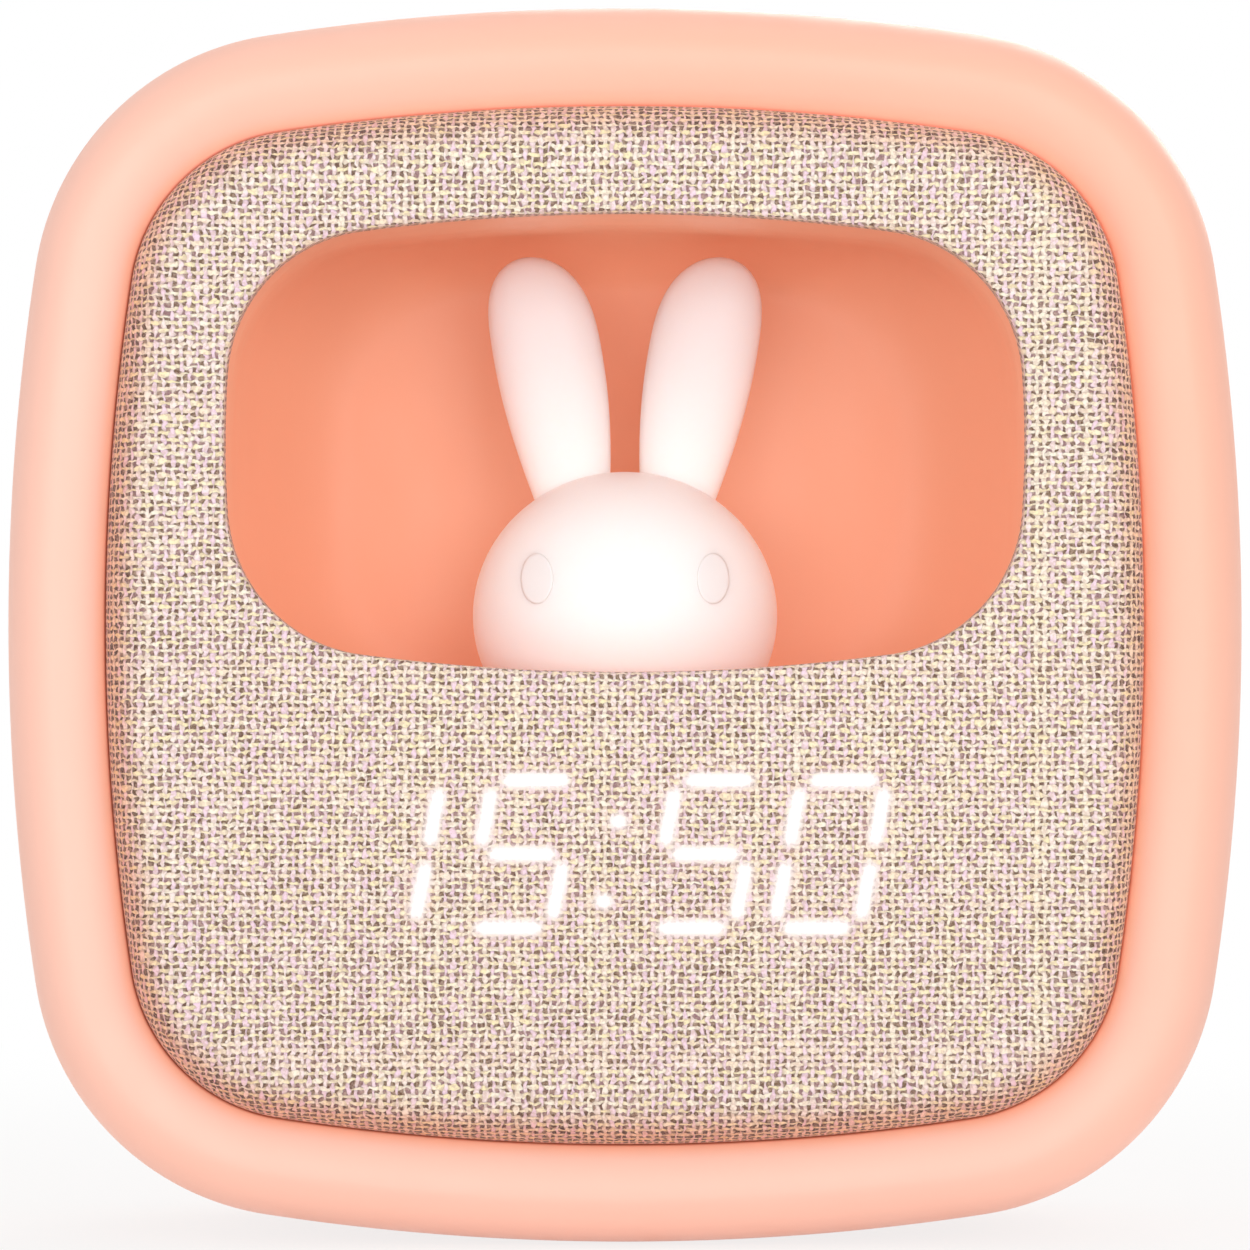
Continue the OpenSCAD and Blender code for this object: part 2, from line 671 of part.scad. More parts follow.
module fabric_cover() {
    under = fabric_t + fascia_t + 0.1;
    lip = 0.3 * fabric_t;
    color("antiquewhite") ring_loft(concat(
        border_rings(0), flat_rings(0, -fabric_t),
        [on_face(window_ring(-lip, 0), lip), on_face(window_ring(0, 0), fabric_t)],
        [window_ring(0, flange_y), window_ring(-hem_w, flange_y)],
        [on_face(window_ring(-hem_w, 0), under), on_face(window_ring(-fabric_t, 0), under)],
        backwards(flat_rings(fabric_t, -fabric_t)), backwards(border_rings(fabric_t))));
}

display_x = -1.5;
display_z = axis_z - display_drop;
digit_x = [-23.4, -9.2, 9.85, 22.8];
colon_x = 0.2;
colon_rise = [3.4, -4.9];
display_w = 63;
display_h = digit_h + segment_w + 2.8;
display_gap = 0.2;
display_front_y = face_y + fabric_t + fascia_t;
display_board_y = display_front_y + display_d;
display_board_t = 1.6;
display_post_w = 5;
display_post_x = display_w / 2 + 3.2;
display_posts = [for (s = [-1, 1]) [display_x + s * display_post_x, display_z]];

liner_pad_w = 4;
liner_ear_w = liner_pad_w + 2;
liner_pad_x = min(window_w / 2 + liner_t + liner_pad_w / 2 + 1.3,
    case_w / 2 - fascia_d - fascia_t - liner_ear_w / 2 - 0.2);
liner_pads = concat(
    [for (s = [-1, 1]) [s * 16, window_z + window_h / 2 + hem_w + liner_pad_w / 2 + 0.1]],
    [for (s = [-1, 1]) [s * liner_pad_x, window_z - 10.6]]);

module fascia_plate() {
    color("wheat") difference() {
        union() {
            ring_loft(concat(border_rings(fabric_t), flat_rings(fabric_t, -fabric_t),
                backwards(flat_rings(fabric_t + fascia_t, -fabric_t)),
                backwards(border_rings(fabric_t + fascia_t))));
            at_points(fascia_boss_points)
                rod(fascia_boss_w, display_front_y + 0.4, shelf_y);
            for (p = liner_pads) rod(liner_pad_w, display_front_y - 0.8, flange_y, p[0], p[1]);
            for (p = display_posts) rod(display_post_w, display_front_y - 0.8, display_board_y, p[0], p[1]);
        }
        at_points(fascia_boss_points) rod(fascia_screw_d + thread_gap, display_front_y + 2, shelf_y + 1);
        for (p = liner_pads) rod(liner_screw_d + thread_gap, display_front_y - 1.4, flange_y + 1, p[0], p[1]);
        for (p = display_posts)
            rod(display_screw_d + thread_gap, display_board_y - 7, display_board_y + 1, p[0], p[1]);
        block(display_w - 2, display_h - 1.6, face_y - 1, display_front_y + 1, display_x, display_z);
        block(display_w + display_gap, display_h + display_gap, display_front_y, display_front_y + 2,
            display_x, display_z);
    }
}

module liner_screws() {
    for (p = liner_pads) color("silver") screw(liner_screw_d, 4.4, 3.6, 1, p[0], flange_y + liner_t, p[1]);
}

// ---- Display ----

module display_diffuser() {
    color("white") block(display_w - 2 - 2 * display_gap, display_h - 1.6 - 2 * display_gap,
        display_front_y - 1, display_front_y, display_x, display_z);
}

// One bar with pointed ends, len long, along x
module bar_2d(len, w) {
    polygon([[-len / 2, 0], [-len / 2 + w / 2, w / 2], [len / 2 - w / 2, w / 2], [len / 2, 0],
        [len / 2 - w / 2, -w / 2], [-len / 2 + w / 2, -w / 2]]);
}

// All bars of the four digits and the two dots, slanted, grown by g
module segments_2d(g) {
    slope = tan(digit_slant);
    gap = 0.35;
    half = digit_h / 2;
    for (x = digit_x) {
        for (z = [-half, 0, half]) translate([x + slope * z, z]) bar_2d(digit_w - gap + g, segment_w + g);
        for (sx = [-1, 1], sz = [-1, 1]) let (z = sz * half / 2)
            translate([x + slope * z + sx * digit_w / 2, z]) multmatrix([[1, slope, 0, 0], [0, 1, 0, 0]])
                rotate(90) bar_2d(half - gap + g, segment_w + g);
    }
    for (z = colon_rise) translate([colon_x + slope * z, z])
        circle(d = segment_w + 0.4 + g, $fn = 24);
}

module display_housing() {
    color("white") difference() {
        block(display_w, display_h, display_front_y, display_board_y, display_x, display_z);
        translate([display_x, 0, display_z]) plate(display_front_y - 1, display_board_y + 1) segments_2d(0);
    }
}

module display_segments() {
    color("mistyrose") translate([display_x, 0, display_z])
        plate(display_front_y, display_board_y - 1) segments_2d(-0.06);
}

module display_board() {
    w = 2 * display_post_x + display_post_w + 1;
    back = display_board_y + display_board_t;
    color("seagreen") difference() {
        block(w, display_h + 2, display_board_y, back, display_x, display_z - 0.6);
        for (p = display_posts) rod(display_screw_d + clear_gap, display_board_y - 1, back + 1, p[0], p[1]);
    }
}

module display_chip() {
    y = display_board_y + display_board_t;
    color("black") block(10, 7, y, y + 1.5, display_x - 8, display_z);
}

module display_screws() {
    for (p = display_posts) color("silver")
        screw(display_screw_d, 7, 3.8, 1.2, p[0], display_board_y + display_board_t, p[1]);
}

// ---- Alcove and the lit figure ----

floor_z = window_z - window_h / 2 - floor_drop;
alcove_back_y = flange_y + alcove_depth;

// Inset of the alcove's walls near its back: a quarter of an ellipse r wide that starts at s0
function cove(s, s0, r) = s <= s0 ? 0 : r * (1 - sqrt(max(0, 1 - pow((s - s0) / (1 - s0), 2))));

// Ring of the alcove at share s of its depth, moved inwards by d and backwards by dy
function alcove_ring(s, d, dy) =
    let (side = window_w / 2 - cove(s, 0.3, 12))
    let (top = window_h / 2 - 0.6 * min(1, s / 0.25) - cove(s, 0.6, 6))
    let (low = window_h / 2 + floor_drop - cove(s, 0.75, 5), y = flange_y + alcove_depth * s + dy)
    ring(window_like(side, (top + low) / 2), d, y, window_z + (top - low) / 2);

module alcove_liner() {
    steps = [1, 0.985, 0.94, 0.85, 0.7, 0.5, 0.25];
    lip_y = flange_y + liner_t;
    lip_s = liner_t / alcove_depth;
    side_lap = 4;
    top_lap = 5;
    low_lap = floor_drop + liner_t;
    flange = [window_w / 2 + side_lap, (window_h + top_lap + low_lap) / 2, 210, 110, 16 + liner_t];
    flange_z = window_z + (top_lap - low_lap) / 2;
    outer = concat([for (s = steps) alcove_ring(s, -liner_t, liner_t * s)],
        [alcove_ring(lip_s, -liner_t, 0)],
        [for (y = [lip_y, flange_y]) ring(flange, 0, y, flange_z)]);
    inner = concat([window_ring(0, flange_y), window_ring(0, lip_y), alcove_ring(lip_s, 0, 0.02)],
        backwards([for (s = steps) alcove_ring(s, 0, 0)]));
    color("sandybrown") difference() {
        union() {
            capped_loft(concat(outer, inner));
            for (p = liner_pads) rod(liner_ear_w, flange_y, lip_y, p[0], p[1]);
            translate([0, figure_y, floor_z - 1]) cylinder(d = base_d + 0.6, h = 1 + seat_h, $fn = 64);
            for (x = lamp_post_x) translate([x, figure_y, lamp_board_top])
                cylinder(d = lamp_post_w, h = floor_z - liner_t - lamp_board_top + 0.6, $fn = 32);
        }
        for (p = liner_pads) rod(liner_screw_d + 0.3, flange_y - 1, lip_y + 1, p[0], p[1]);
        translate([0, figure_y, floor_z - 4]) cylinder(d = lamp_hole_d, h = 8, $fn = 48);
        for (x = lamp_post_x) translate([x, figure_y, lamp_board_z])
            cylinder(d = lamp_screw_d + thread_gap, h = 5.2, $fn = 24);
    }
}

figure_y = -9;
base_d = 26;
base_h = 2;
seat_h = 1;
base_z = floor_z + seat_h;
lamp_hole_d = 16;
neck_z = floor_z + 5.7;
head_z = axis_z + 1;
lamp_board_w = 34;
lamp_board_d = 18;
lamp_board_t = 1.6;
lamp_board_z = floor_z - liner_t - 4.5;
lamp_board_top = lamp_board_z + lamp_board_t;
lamp_post_w = 4.4;
lamp_post_x = [-14, 14];

module figure_base() {
    color("peachpuff") translate([0, figure_y, base_z]) difference() {
        cylinder(d = base_d, h = base_h, $fn = 64);
        translate([0, 0, -1]) cylinder(d = lamp_hole_d, h = base_h + 2, $fn = 48);
    }
}

module rabbit_body() {
    low = base_z + base_h;
    color("white") translate([0, figure_y, 0]) rotate_extrude($fn = 64)
        polygon([[base_d / 2 - 1 - figure_t, low], [base_d / 2 - 1, low], [base_d / 2 - 0.4, low + 1.2],
            [base_d / 2 - 1.6, neck_z], [base_d / 2 - 1.6 - figure_t, neck_z]]);
}

// Ring of an ellipsoid around the figure's head at height angle a, t thinner all round
function head_ring(a, t) =
    [for (k = [0 : 31]) let (f = 360 * k / 32)
        [(head_w / 2 - t) * cos(a) * cos(f), figure_y + (head_d / 2 - t) * cos(a) * sin(f),
            head_z + (head_h / 2 - t) * sin(a)]];

// Solid ellipsoid of the head, t thinner all round
module head_solid(t) {
    capped_loft([for (a = [-88, -75, -60, -45, -30, -15, 0, 15, 30, 45, 60, 75, 88]) head_ring(a, t)]);
}

eye_x = 9.3;
eye_rise = 3.9;
eye_w = 3.7;
eye_h = 5.5;

// Raised oval eye that lies on the head's surface
module eye(side) {
    u = eye_x / (head_w / 2);
    v = eye_rise / (head_h / 2);
    y = -head_d / 2 * sqrt(1 - u * u - v * v);
    n = [side * eye_x / pow(head_w / 2, 2), y / pow(head_d / 2, 2), eye_rise / pow(head_h / 2, 2)];
    translate([side * eye_x, figure_y + y, head_z + eye_rise])
        rotate([0, 0, atan2(n[0], -n[1])]) rotate([-atan2(n[2], norm([n[0], n[1]])), 0, 0]) rotate([90, 0, 0])
            translate([0, 0, -0.8]) linear_extrude(1.3) resize([eye_w, eye_h]) circle(d = eye_h, $fn = 24);
}

module rabbit_head() {
    color("white") difference() {
        union() {
            head_solid(0);
            for (side = [-1, 1]) eye(side);
        }
        head_solid(figure_t);
        translate([-head_w, figure_y - head_d, head_z - head_h])
            cube([2 * head_w, 2 * head_d, neck_z - head_z + head_h]);
    }
}

ear_base_x = 6.2;
ear_lean = 9.5;
ear_set_back = 3;
ear_flat = 0.54;
ear_tip_z = head_z + head_h / 2 + 23.2;

// Width of the ear at share t of its length, from its root to its tip
ear_root = 0.5;
ear_wide_at = 0.65;
ear_blunt = 3.1;
function ear_width(t) = ear_w * (t < ear_wide_at ? ear_root + (1 - ear_root) * sin(90 * t / ear_wide_at)
    : sqrt(1 - pow((t - ear_wide_at) / (1 - ear_wide_at), ear_blunt)));

module rabbit_ear(side) {
    steps = [0, 0.15, 0.3, 0.45, 0.6, 0.72, 0.81, 0.87, 0.92, 0.96, 0.985, 0.997];
    root_z = ear_tip_z - ear_len;
    root_x = ear_base_x - (head_z + head_h / 2 - root_z) * tan(ear_lean);
    rings = [for (t = steps)
        let (w = ear_width(t), z = root_z + ear_len * t, x = side * (root_x + ear_len * t * tan(ear_lean)))
        [for (k = [0 : 19]) let (f = 360 * k / 20)
            [x + w / 2 * cos(f), figure_y + ear_set_back + w * ear_flat / 2 * sin(f), z]]];
    color("white") difference() {
        capped_loft(rings);
        head_solid(-0.05);
    }
}

module rabbit_ear_left() rabbit_ear(-1);
module rabbit_ear_right() rabbit_ear(1);

module night_light_board() {
    color("white") difference() {
        translate([-lamp_board_w / 2, figure_y - 4.5, lamp_board_z])
            cube([lamp_board_w, lamp_board_d, lamp_board_t]);
        for (x = lamp_post_x) translate([x, figure_y, lamp_board_z - 1])
            cylinder(d = lamp_screw_d + clear_gap, h = 4, $fn = 24);
    }
}

module night_light_lamps() {
    r = 4.2;
    w = 3;
    for (a = [45 : 90 : 315]) color("lightyellow")
        translate([r * cos(a) - w / 2, figure_y + r * sin(a) - w / 2, lamp_board_top]) cube([w, w, 1.6]);
}

module lamp_board_screws() {
    for (x = lamp_post_x) color("silver") translate([x, figure_y, lamp_board_z]) rotate([90, 0, 0])
        screw(lamp_screw_d, 5, 3.4, 1, 0, 0, 0, -1);
}

// ---- Leads ----

module speaker_lead() {
    start = [speaker_x + 14.4, speaker_flange_y - 6, speaker_z + 8];
    end = [-14, board_front_y - 1, board_z - board_h / 2 + 3];
    color("crimson") lead(bend(start, [6, -6, 8], end, [0, 3, 4], 9), 1.6);
}

module battery_lead() {
    start = [tray_x, tray_y - 0.8, tray_z + tray_in_h / 2 - 3];
    end = [tray_x, board_front_y - 1, board_z - board_h / 2 + 3];
    color("crimson") lead(bend(start, [0, -3, 2], end, [0, 3, 3], 8), 1.6);
}

module night_light_lead() {
    start = [-8, figure_y + lamp_board_d - 4.5, lamp_board_z + lamp_board_t / 2];
    end = [-6, board_front_y - 1, board_z - board_h / 2 + 3];
    color("white") lead(bend(start, [0, 7, -2], end, [0, 3, 8], 9), 1.4);
}

// Flat cable drawn from the side: across the case behind the display, then up to the main board
module display_ribbon() {
    w = 10;
    t = 0.5;
    y0 = display_board_y + display_board_t;
    y1 = alcove_back_y + liner_t + 1.2;
    z0 = speaker_z + 13.8;
    z1 = board_z - board_h / 2;
    color("lightgray") translate([-36, 0, 0]) rotate([90, 0, 90]) linear_extrude(w) polygon([
        [y0, z0], [y1 + t, z0], [y1 + t, z1 + 3], [board_front_y, z1 + 3], [board_front_y, z1 + 3 + t],
        [y1, z1 + 3 + t], [y1, z0 + t], [y0, z0 + t]]);
}

front_shell();
rear_cover();
fascia_plate();
fabric_cover();
alcove_liner();
figure_base();
rabbit_body();
rabbit_head();
rabbit_ear_left();
rabbit_ear_right();
night_light_board();
night_light_lamps();
display_diffuser();
display_housing();
display_segments();
display_board();
display_chip();
display_ribbon();
main_board();
main_chips();
main_capacitor();
backup_cell();
tact_switches();
slide_switch_body();
power_slider();
usb_socket();
mode_button();
set_button();
up_button();
down_button();
alarm_button();
speaker_basket();
speaker_magnet();
speaker_cone();
speaker_gasket();
battery_tray();
battery_cells();
battery_springs();
battery_plates();
battery_door();
door_screw();
base_pad();
housing_screws();
fascia_screws();
liner_screws();
display_screws();
board_screws();
lamp_board_screws();
speaker_screws();
speaker_lead();
battery_lead();
night_light_lead();
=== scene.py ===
"""Looks of a kids alarm clock with a night light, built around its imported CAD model."""

import math

import bmesh
import bpy
import numpy as np
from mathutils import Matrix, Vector


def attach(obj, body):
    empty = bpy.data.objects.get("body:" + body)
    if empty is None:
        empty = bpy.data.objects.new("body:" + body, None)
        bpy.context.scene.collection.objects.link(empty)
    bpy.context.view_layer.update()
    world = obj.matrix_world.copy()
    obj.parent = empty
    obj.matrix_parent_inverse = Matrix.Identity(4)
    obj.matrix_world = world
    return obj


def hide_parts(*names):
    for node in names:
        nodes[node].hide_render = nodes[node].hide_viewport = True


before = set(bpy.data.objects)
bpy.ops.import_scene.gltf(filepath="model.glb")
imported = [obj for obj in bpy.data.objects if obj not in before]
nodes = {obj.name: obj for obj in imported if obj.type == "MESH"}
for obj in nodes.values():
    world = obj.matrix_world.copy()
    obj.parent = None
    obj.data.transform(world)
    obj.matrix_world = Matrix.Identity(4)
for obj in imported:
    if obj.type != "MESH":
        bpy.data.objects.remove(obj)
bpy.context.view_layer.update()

MM = 0.001

# ---- Sizes of the CAD model, in millimetres ----

PAD_PROUD = 0.2
PAD = (26, 28)
PAD_GAP = 0.2
PAD_TOP = PAD_PROUD + 3
SEAT_MARGIN = 2
AXIS_Z = PAD_PROUD + 65
WIDEST_Y = -19
RIM_ROLL = 8.6
RIDGE_Y = WIDEST_Y - RIM_ROLL
FACE_Y = RIDGE_Y - 2.4
BACK_Y = 28
COVER_IN_Y = 25.8
SEAM_Y = 20
WALL = 2.2
TAPER = 1.5
RIM_W = 11
RIDGE_D = 5.4
CREASE_DROP = 4.4
CREASE_Y = RIDGE_Y + CREASE_DROP
SHELF_Y = WIDEST_Y + 2
SHELF_T = 2
SHELF_W = 8.5
EDGE = 0.25
# Outlines: half width, half height, the radii of the top and of the sides, and the corners' radius
CASE = (65, 65, 250, 250, 29)
FABRIC_T = 0.8
FACE_GAP = 0.3
FACE_ROLL = 6
FACE_CROWN = 0.8
BORDER_D = RIM_W + FACE_GAP + FACE_ROLL
FASCIA_T = 2
FLANGE_Y = FACE_Y + 2 * FABRIC_T + FASCIA_T + FACE_CROWN
HEM_W = 1.6
WINDOW = (41.7, 23.9, 210, 110, 16)
WINDOW_Z = AXIS_Z + 19
ALCOVE_DEPTH = 33
LINER_T = 1.6
FLOOR_DROP = 6.6
FLOOR_Z = WINDOW_Z - WINDOW[1] - FLOOR_DROP
FIGURE_Y = -9
BASE_D = 26
BASE_H = 2
BASE_SEAT_H = 1
LAMP_HOLE_R = 8
# Half width, half depth and half height
HEAD = (32.6 / 2, 26 / 2, 30.8 / 2)
HEAD_Z = AXIS_Z + 1
NECK_Z = FLOOR_Z + 5.7
FIGURE_T = 1.6
EYE_X = 9.3
EYE_RISE = 3.9
EYE_SIZE = (3.45, 5.4)
EAR_LEN = 31
EAR_W = 11.8
EAR_ROOT = 0.5
EAR_FLAT = 0.54
EAR_LEAN = math.radians(9.5)
EAR_TIP_Z = HEAD_Z + HEAD[2] + 23.2
EAR_WIDE_AT = 0.65
EAR_BASE_X = 6.2
EAR_BLUNT = 3.1
EAR_SET_BACK = 3
DISPLAY_X = -1.5
DISPLAY_Z = AXIS_Z - 23.8
DIGIT_X = (-23.4, -9.2, 9.85, 22.8)
COLON_X = 0.2
DIGIT_H = 15.3
DIGIT_W = 8.8
SLANT = math.tan(math.radians(10.5))

# ---- Camera, light and stage ----

scene = bpy.context.scene
scene.view_settings.view_transform = "Standard"

# Metres from the case's widest outline to the camera, and the width that the picture shows there
CAMERA_GAP = 0.65
VIEW_WIDTH = 0.1319
camera_data = bpy.data.cameras.new("camera")
camera_data.sensor_fit = "HORIZONTAL"
camera_data.lens = camera_data.sensor_width * CAMERA_GAP / VIEW_WIDTH
camera_data.clip_start = 0.01
camera = bpy.data.objects.new("camera", camera_data)
camera.location = (0, WIDEST_Y * MM - CAMERA_GAP, AXIS_Z * MM)
camera.rotation_euler = (math.radians(90), 0, 0)
scene.collection.objects.link(camera)
scene.camera = camera


# ---- Node graphs ----


class Graph:
    """A material's nodes, made from plain expressions."""

    def __init__(self, tree):
        self.tree = tree
        tree.nodes.clear()

    def add(self, kind, inputs=None, **settings):
        node = self.tree.nodes.new(kind)
        for key, value in settings.items():
            setattr(node, key, value)
        for key, value in (inputs or {}).items():
            self.put(node.inputs[key], value)
        return node

    def put(self, socket, value):
        if isinstance(value, Value):
            value = value.socket
        if isinstance(value, bpy.types.NodeSocket):
            self.tree.links.new(value, socket)
        else:
            socket.default_value = value

    def math(self, operation, *values):
        node = self.add("ShaderNodeMath", operation=operation)
        for socket, value in zip(node.inputs, values):
            self.put(socket, value)
        return Value(self, node.outputs[0])

    def smooth(self, value, low, high, to_low=0.0, to_high=1.0):
        node = self.add(
            "ShaderNodeMapRange",
            {"Value": value, "From Min": low, "From Max": high, "To Min": to_low, "To Max": to_high},
            interpolation_type="SMOOTHSTEP",
        )
        return Value(self, node.outputs["Result"])

    def mix(self, share, a, b, blend="MIX"):
        node = self.add("ShaderNodeMix", data_type="RGBA", blend_type=blend)
        self.put(node.inputs[0], share)
        self.put(node.inputs[6], a)
        self.put(node.inputs[7], b)
        return Value(self, node.outputs[2])

    def combine(self, x, y, z):
        node = self.add("ShaderNodeCombineXYZ", {"X": x, "Y": y, "Z": z})
        return Value(self, node.outputs[0])

    def noise(self, scale, detail=2.0, rough=0.5, vector=None, stretch=None):
        vector = vector or self.place
        if stretch:
            mapping = self.add("ShaderNodeMapping", {"Vector": vector, "Scale": stretch})
            vector = Value(self, mapping.outputs[0])
        node = self.add(
            "ShaderNodeTexNoise",
            {"Vector": vector, "Scale": scale, "Detail": detail, "Roughness": rough},
        )
        return Value(self, node.outputs["Fac"])

    def cells(self, scale, output="Distance"):
        node = self.add("ShaderNodeTexVoronoi", {"Vector": self.place, "Scale": scale})
        return Value(self, node.outputs[output])

    def random(self, vector):
        node = self.add("ShaderNodeTexWhiteNoise", {"Vector": vector}, noise_dimensions="3D")
        return Value(self, node.outputs["Value"])

    @property
    def place(self):
        """Position on the object, in metres."""
        return Value(self, self.add("ShaderNodeTexCoord").outputs["Object"])

    def parts(self, vector):
        """The three numbers of a vector."""
        node = self.add("ShaderNodeSeparateXYZ", {"Vector": vector})
        return [Value(self, socket) for socket in node.outputs]

    def attribute(self, name, output="Fac"):
        """Number or vector that the mesh's points carry."""
        return Value(self, self.add("ShaderNodeAttribute", attribute_name=name).outputs[output])

    def bump(self, height, distance, strength=1.0):
        node = self.add("ShaderNodeBump", {"Height": height, "Distance": distance, "Strength": strength})
        return Value(self, node.outputs[0])


class Value:
    """A number or colour that comes out of a node."""

    def __init__(self, graph, socket):
        self.graph = graph
        self.socket = socket

    def __add__(self, other):
        return self.graph.math("ADD", self, other)

    def __sub__(self, other):
        return self.graph.math("SUBTRACT", self, other)

    def __rsub__(self, other):
        return self.graph.math("SUBTRACT", other, self)

    def __mul__(self, other):
        return self.graph.math("MULTIPLY", self, other)

    def __truediv__(self, other):
        return self.graph.math("DIVIDE", self, other)

    __radd__ = __add__
    __rmul__ = __mul__


def rgb(red, green, blue):
    """Linear colour of an sRGB one, given as 0 to 255."""
    parts = [c / 255 for c in (red, green, blue)]
    return [c / 12.92 if c <= 0.04045 else ((c + 0.055) / 1.055) ** 2.4 for c in parts] + [1]


def shader(name, **settings):
    """New material with a Principled shader: its graph and the shader node."""
    material = bpy.data.materials.new(name)
    material.use_nodes = True
    graph = Graph(material.node_tree)
    body = graph.add("ShaderNodeBsdfPrincipled", {k.replace("_", " "): v for k, v in settings.items()})
    out = graph.add("ShaderNodeOutputMaterial")
    graph.put(out.inputs["Surface"], body.outputs[0])
    return material, graph, body


# ---- World, lamps and floor ----


def unlit_white(graph, dim, bright):
    """dim for light that falls on the object, bright for what the camera and mirrors see."""
    path = graph.add("ShaderNodeLightPath")
    seen = graph.math("MAXIMUM", path.outputs["Is Camera Ray"], path.outputs["Is Glossy Ray"])
    seen = graph.math("MAXIMUM", seen, path.outputs["Is Transmission Ray"])
    return seen, dim + (bright - dim) * seen


def make_world():
    world = bpy.data.worlds.new("studio")
    world.use_nodes = True
    scene.world = world
    graph = Graph(world.node_tree)
    _, strength = unlit_white(graph, WORLD_LIGHT, 1.0)
    back = graph.add("ShaderNodeBackground", {"Color": (1, 1, 1, 1), "Strength": strength})
    graph.put(graph.add("ShaderNodeOutputWorld").inputs["Surface"], back.outputs[0])


WORLD_LIGHT = 0.70
# Name, place, target and size in metres, and power in watts
LAMPS = (
    ("key", (0.32, -0.9, 0.26), (0, -0.02, 0.065), 0.6, 2.4),
    ("fill", (-0.45, -0.8, 0.03), (0, -0.02, 0.065), 0.6, 1.45),
    ("low", (-0.1, -0.6, 0.015), (0, -0.02, 0.0), 0.3, 0.75),
    ("top", (0.0, 0.1, 0.85), (0, 0.0, 0.065), 0.6, 0.5),
    ("back", (0.25, 0.85, 0.5), (0, 0.0, 0.065), 0.6, 3.0),
)


def make_lamps():
    for name, place, target, size, power in LAMPS:
        lamp = bpy.data.lights.new(name, "AREA")
        lamp.shape = "DISK"
        lamp.size = size
        lamp.energy = power
        holder = bpy.data.objects.new(name, lamp)
        holder.location = place
        aim = Vector(target) - Vector(place)
        holder.rotation_euler = aim.to_track_quat("-Z", "Y").to_euler()
        scene.collection.objects.link(holder)


def make_floor():
    mesh = bpy.data.meshes.new("floor")
    reach = 4.0
    mesh.from_pydata([(-reach, -reach, 0), (reach, -reach, 0), (reach, reach, 0), (-reach, reach, 0)],
                     [], [(0, 1, 2, 3)])
    floor = bpy.data.objects.new("floor", mesh)
    scene.collection.objects.link(floor)
    material = bpy.data.materials.new("floor")
    material.use_nodes = True
    graph = Graph(material.node_tree)
    matt = graph.add("ShaderNodeBsdfDiffuse", {"Color": rgb(236, 234, 232)})
    glow = graph.add("ShaderNodeEmission", {"Color": (1, 1, 1, 1), "Strength": 1.0})
    seen, _ = unlit_white(graph, 0.0, 1.0)
    distance = graph.add("ShaderNodeVectorMath", {0: graph.place}, operation="LENGTH")
    white = graph.smooth(Value(graph, distance.outputs["Value"]), 0.07, 0.30, 0.8, 1.0)
    blend = graph.add("ShaderNodeMixShader", {0: seen * white, 1: matt.outputs[0], 2: glow.outputs[0]})
    graph.put(graph.add("ShaderNodeOutputMaterial").inputs["Surface"], blend.outputs[0])
    mesh.materials.append(material)


make_world()
make_lamps()
make_floor()


# ---- Outlines and lofts ----


# Steps along the side, the corner and the top in a quarter of an outline
COUNTS = (16, 32, 16)


def corner_centre(o):
    """Centre of the arc that touches an outline's side and top arcs from inside."""
    half_w, half_h, top_r, side_r, r = o
    a = np.array([0, half_h - top_r])
    b = np.array([half_w - side_r, 0])
    ra, rb = top_r - r, side_r - r
    d = np.linalg.norm(b - a)
    u = (b - a) / d
    t = (ra * ra - rb * rb + d * d) / (2 * d)
    return a + u * t + np.array([u[1], -u[0]]) * math.sqrt(ra * ra - t * t)


def outline(o, d, counts=COUNTS):
    """Points (x, z) of an outline moved inwards by d, anticlockwise from +X."""
    half_w, half_h, top_r, side_r, r = o
    c = corner_centre(o)
    side_end = math.atan2(c[1], c[0] - half_w + side_r)
    top_start = math.atan2(c[1] - half_h + top_r, c[0])
    arcs = (
        ((half_w - side_r, 0), side_r - d, 0, side_end, counts[0]),
        (c, r - d, side_end, top_start, counts[1]),
        ((0, half_h - top_r), top_r - d, top_start, math.pi / 2, counts[2]),
    )
    quarter = []
    for centre, radius, start, end, n in arcs:
        f = start + (end - start) * np.arange(n) / n
        quarter.append(np.stack([centre[0] + radius * np.cos(f), centre[1] + radius * np.sin(f)], 1))
    quarter = np.concatenate(quarter)
    half = np.concatenate([quarter, [[0, half_h - d]], quarter[:0:-1] * [-1, 1]])
    return np.concatenate([half, half * [-1, -1]])


def ring(o, d, y, z=AXIS_Z, counts=COUNTS):
    """Outline moved inwards by d, upright at depth y, with its middle at height z."""
    flat = outline(o, d, counts)
    return np.stack([flat[:, 0], np.full(len(flat), float(y)), flat[:, 1] + z], 1)


def face_depth(x, z):
    """Depth of the fabric's surface: flat at the border, crowned in the middle."""
    span = CASE[0] - BORDER_D
    u, v = np.abs(x) / span, np.abs(z - AXIS_Z) / span
    return FACE_Y + FACE_CROWN * np.minimum(1, np.sqrt(u**4 + v**4))


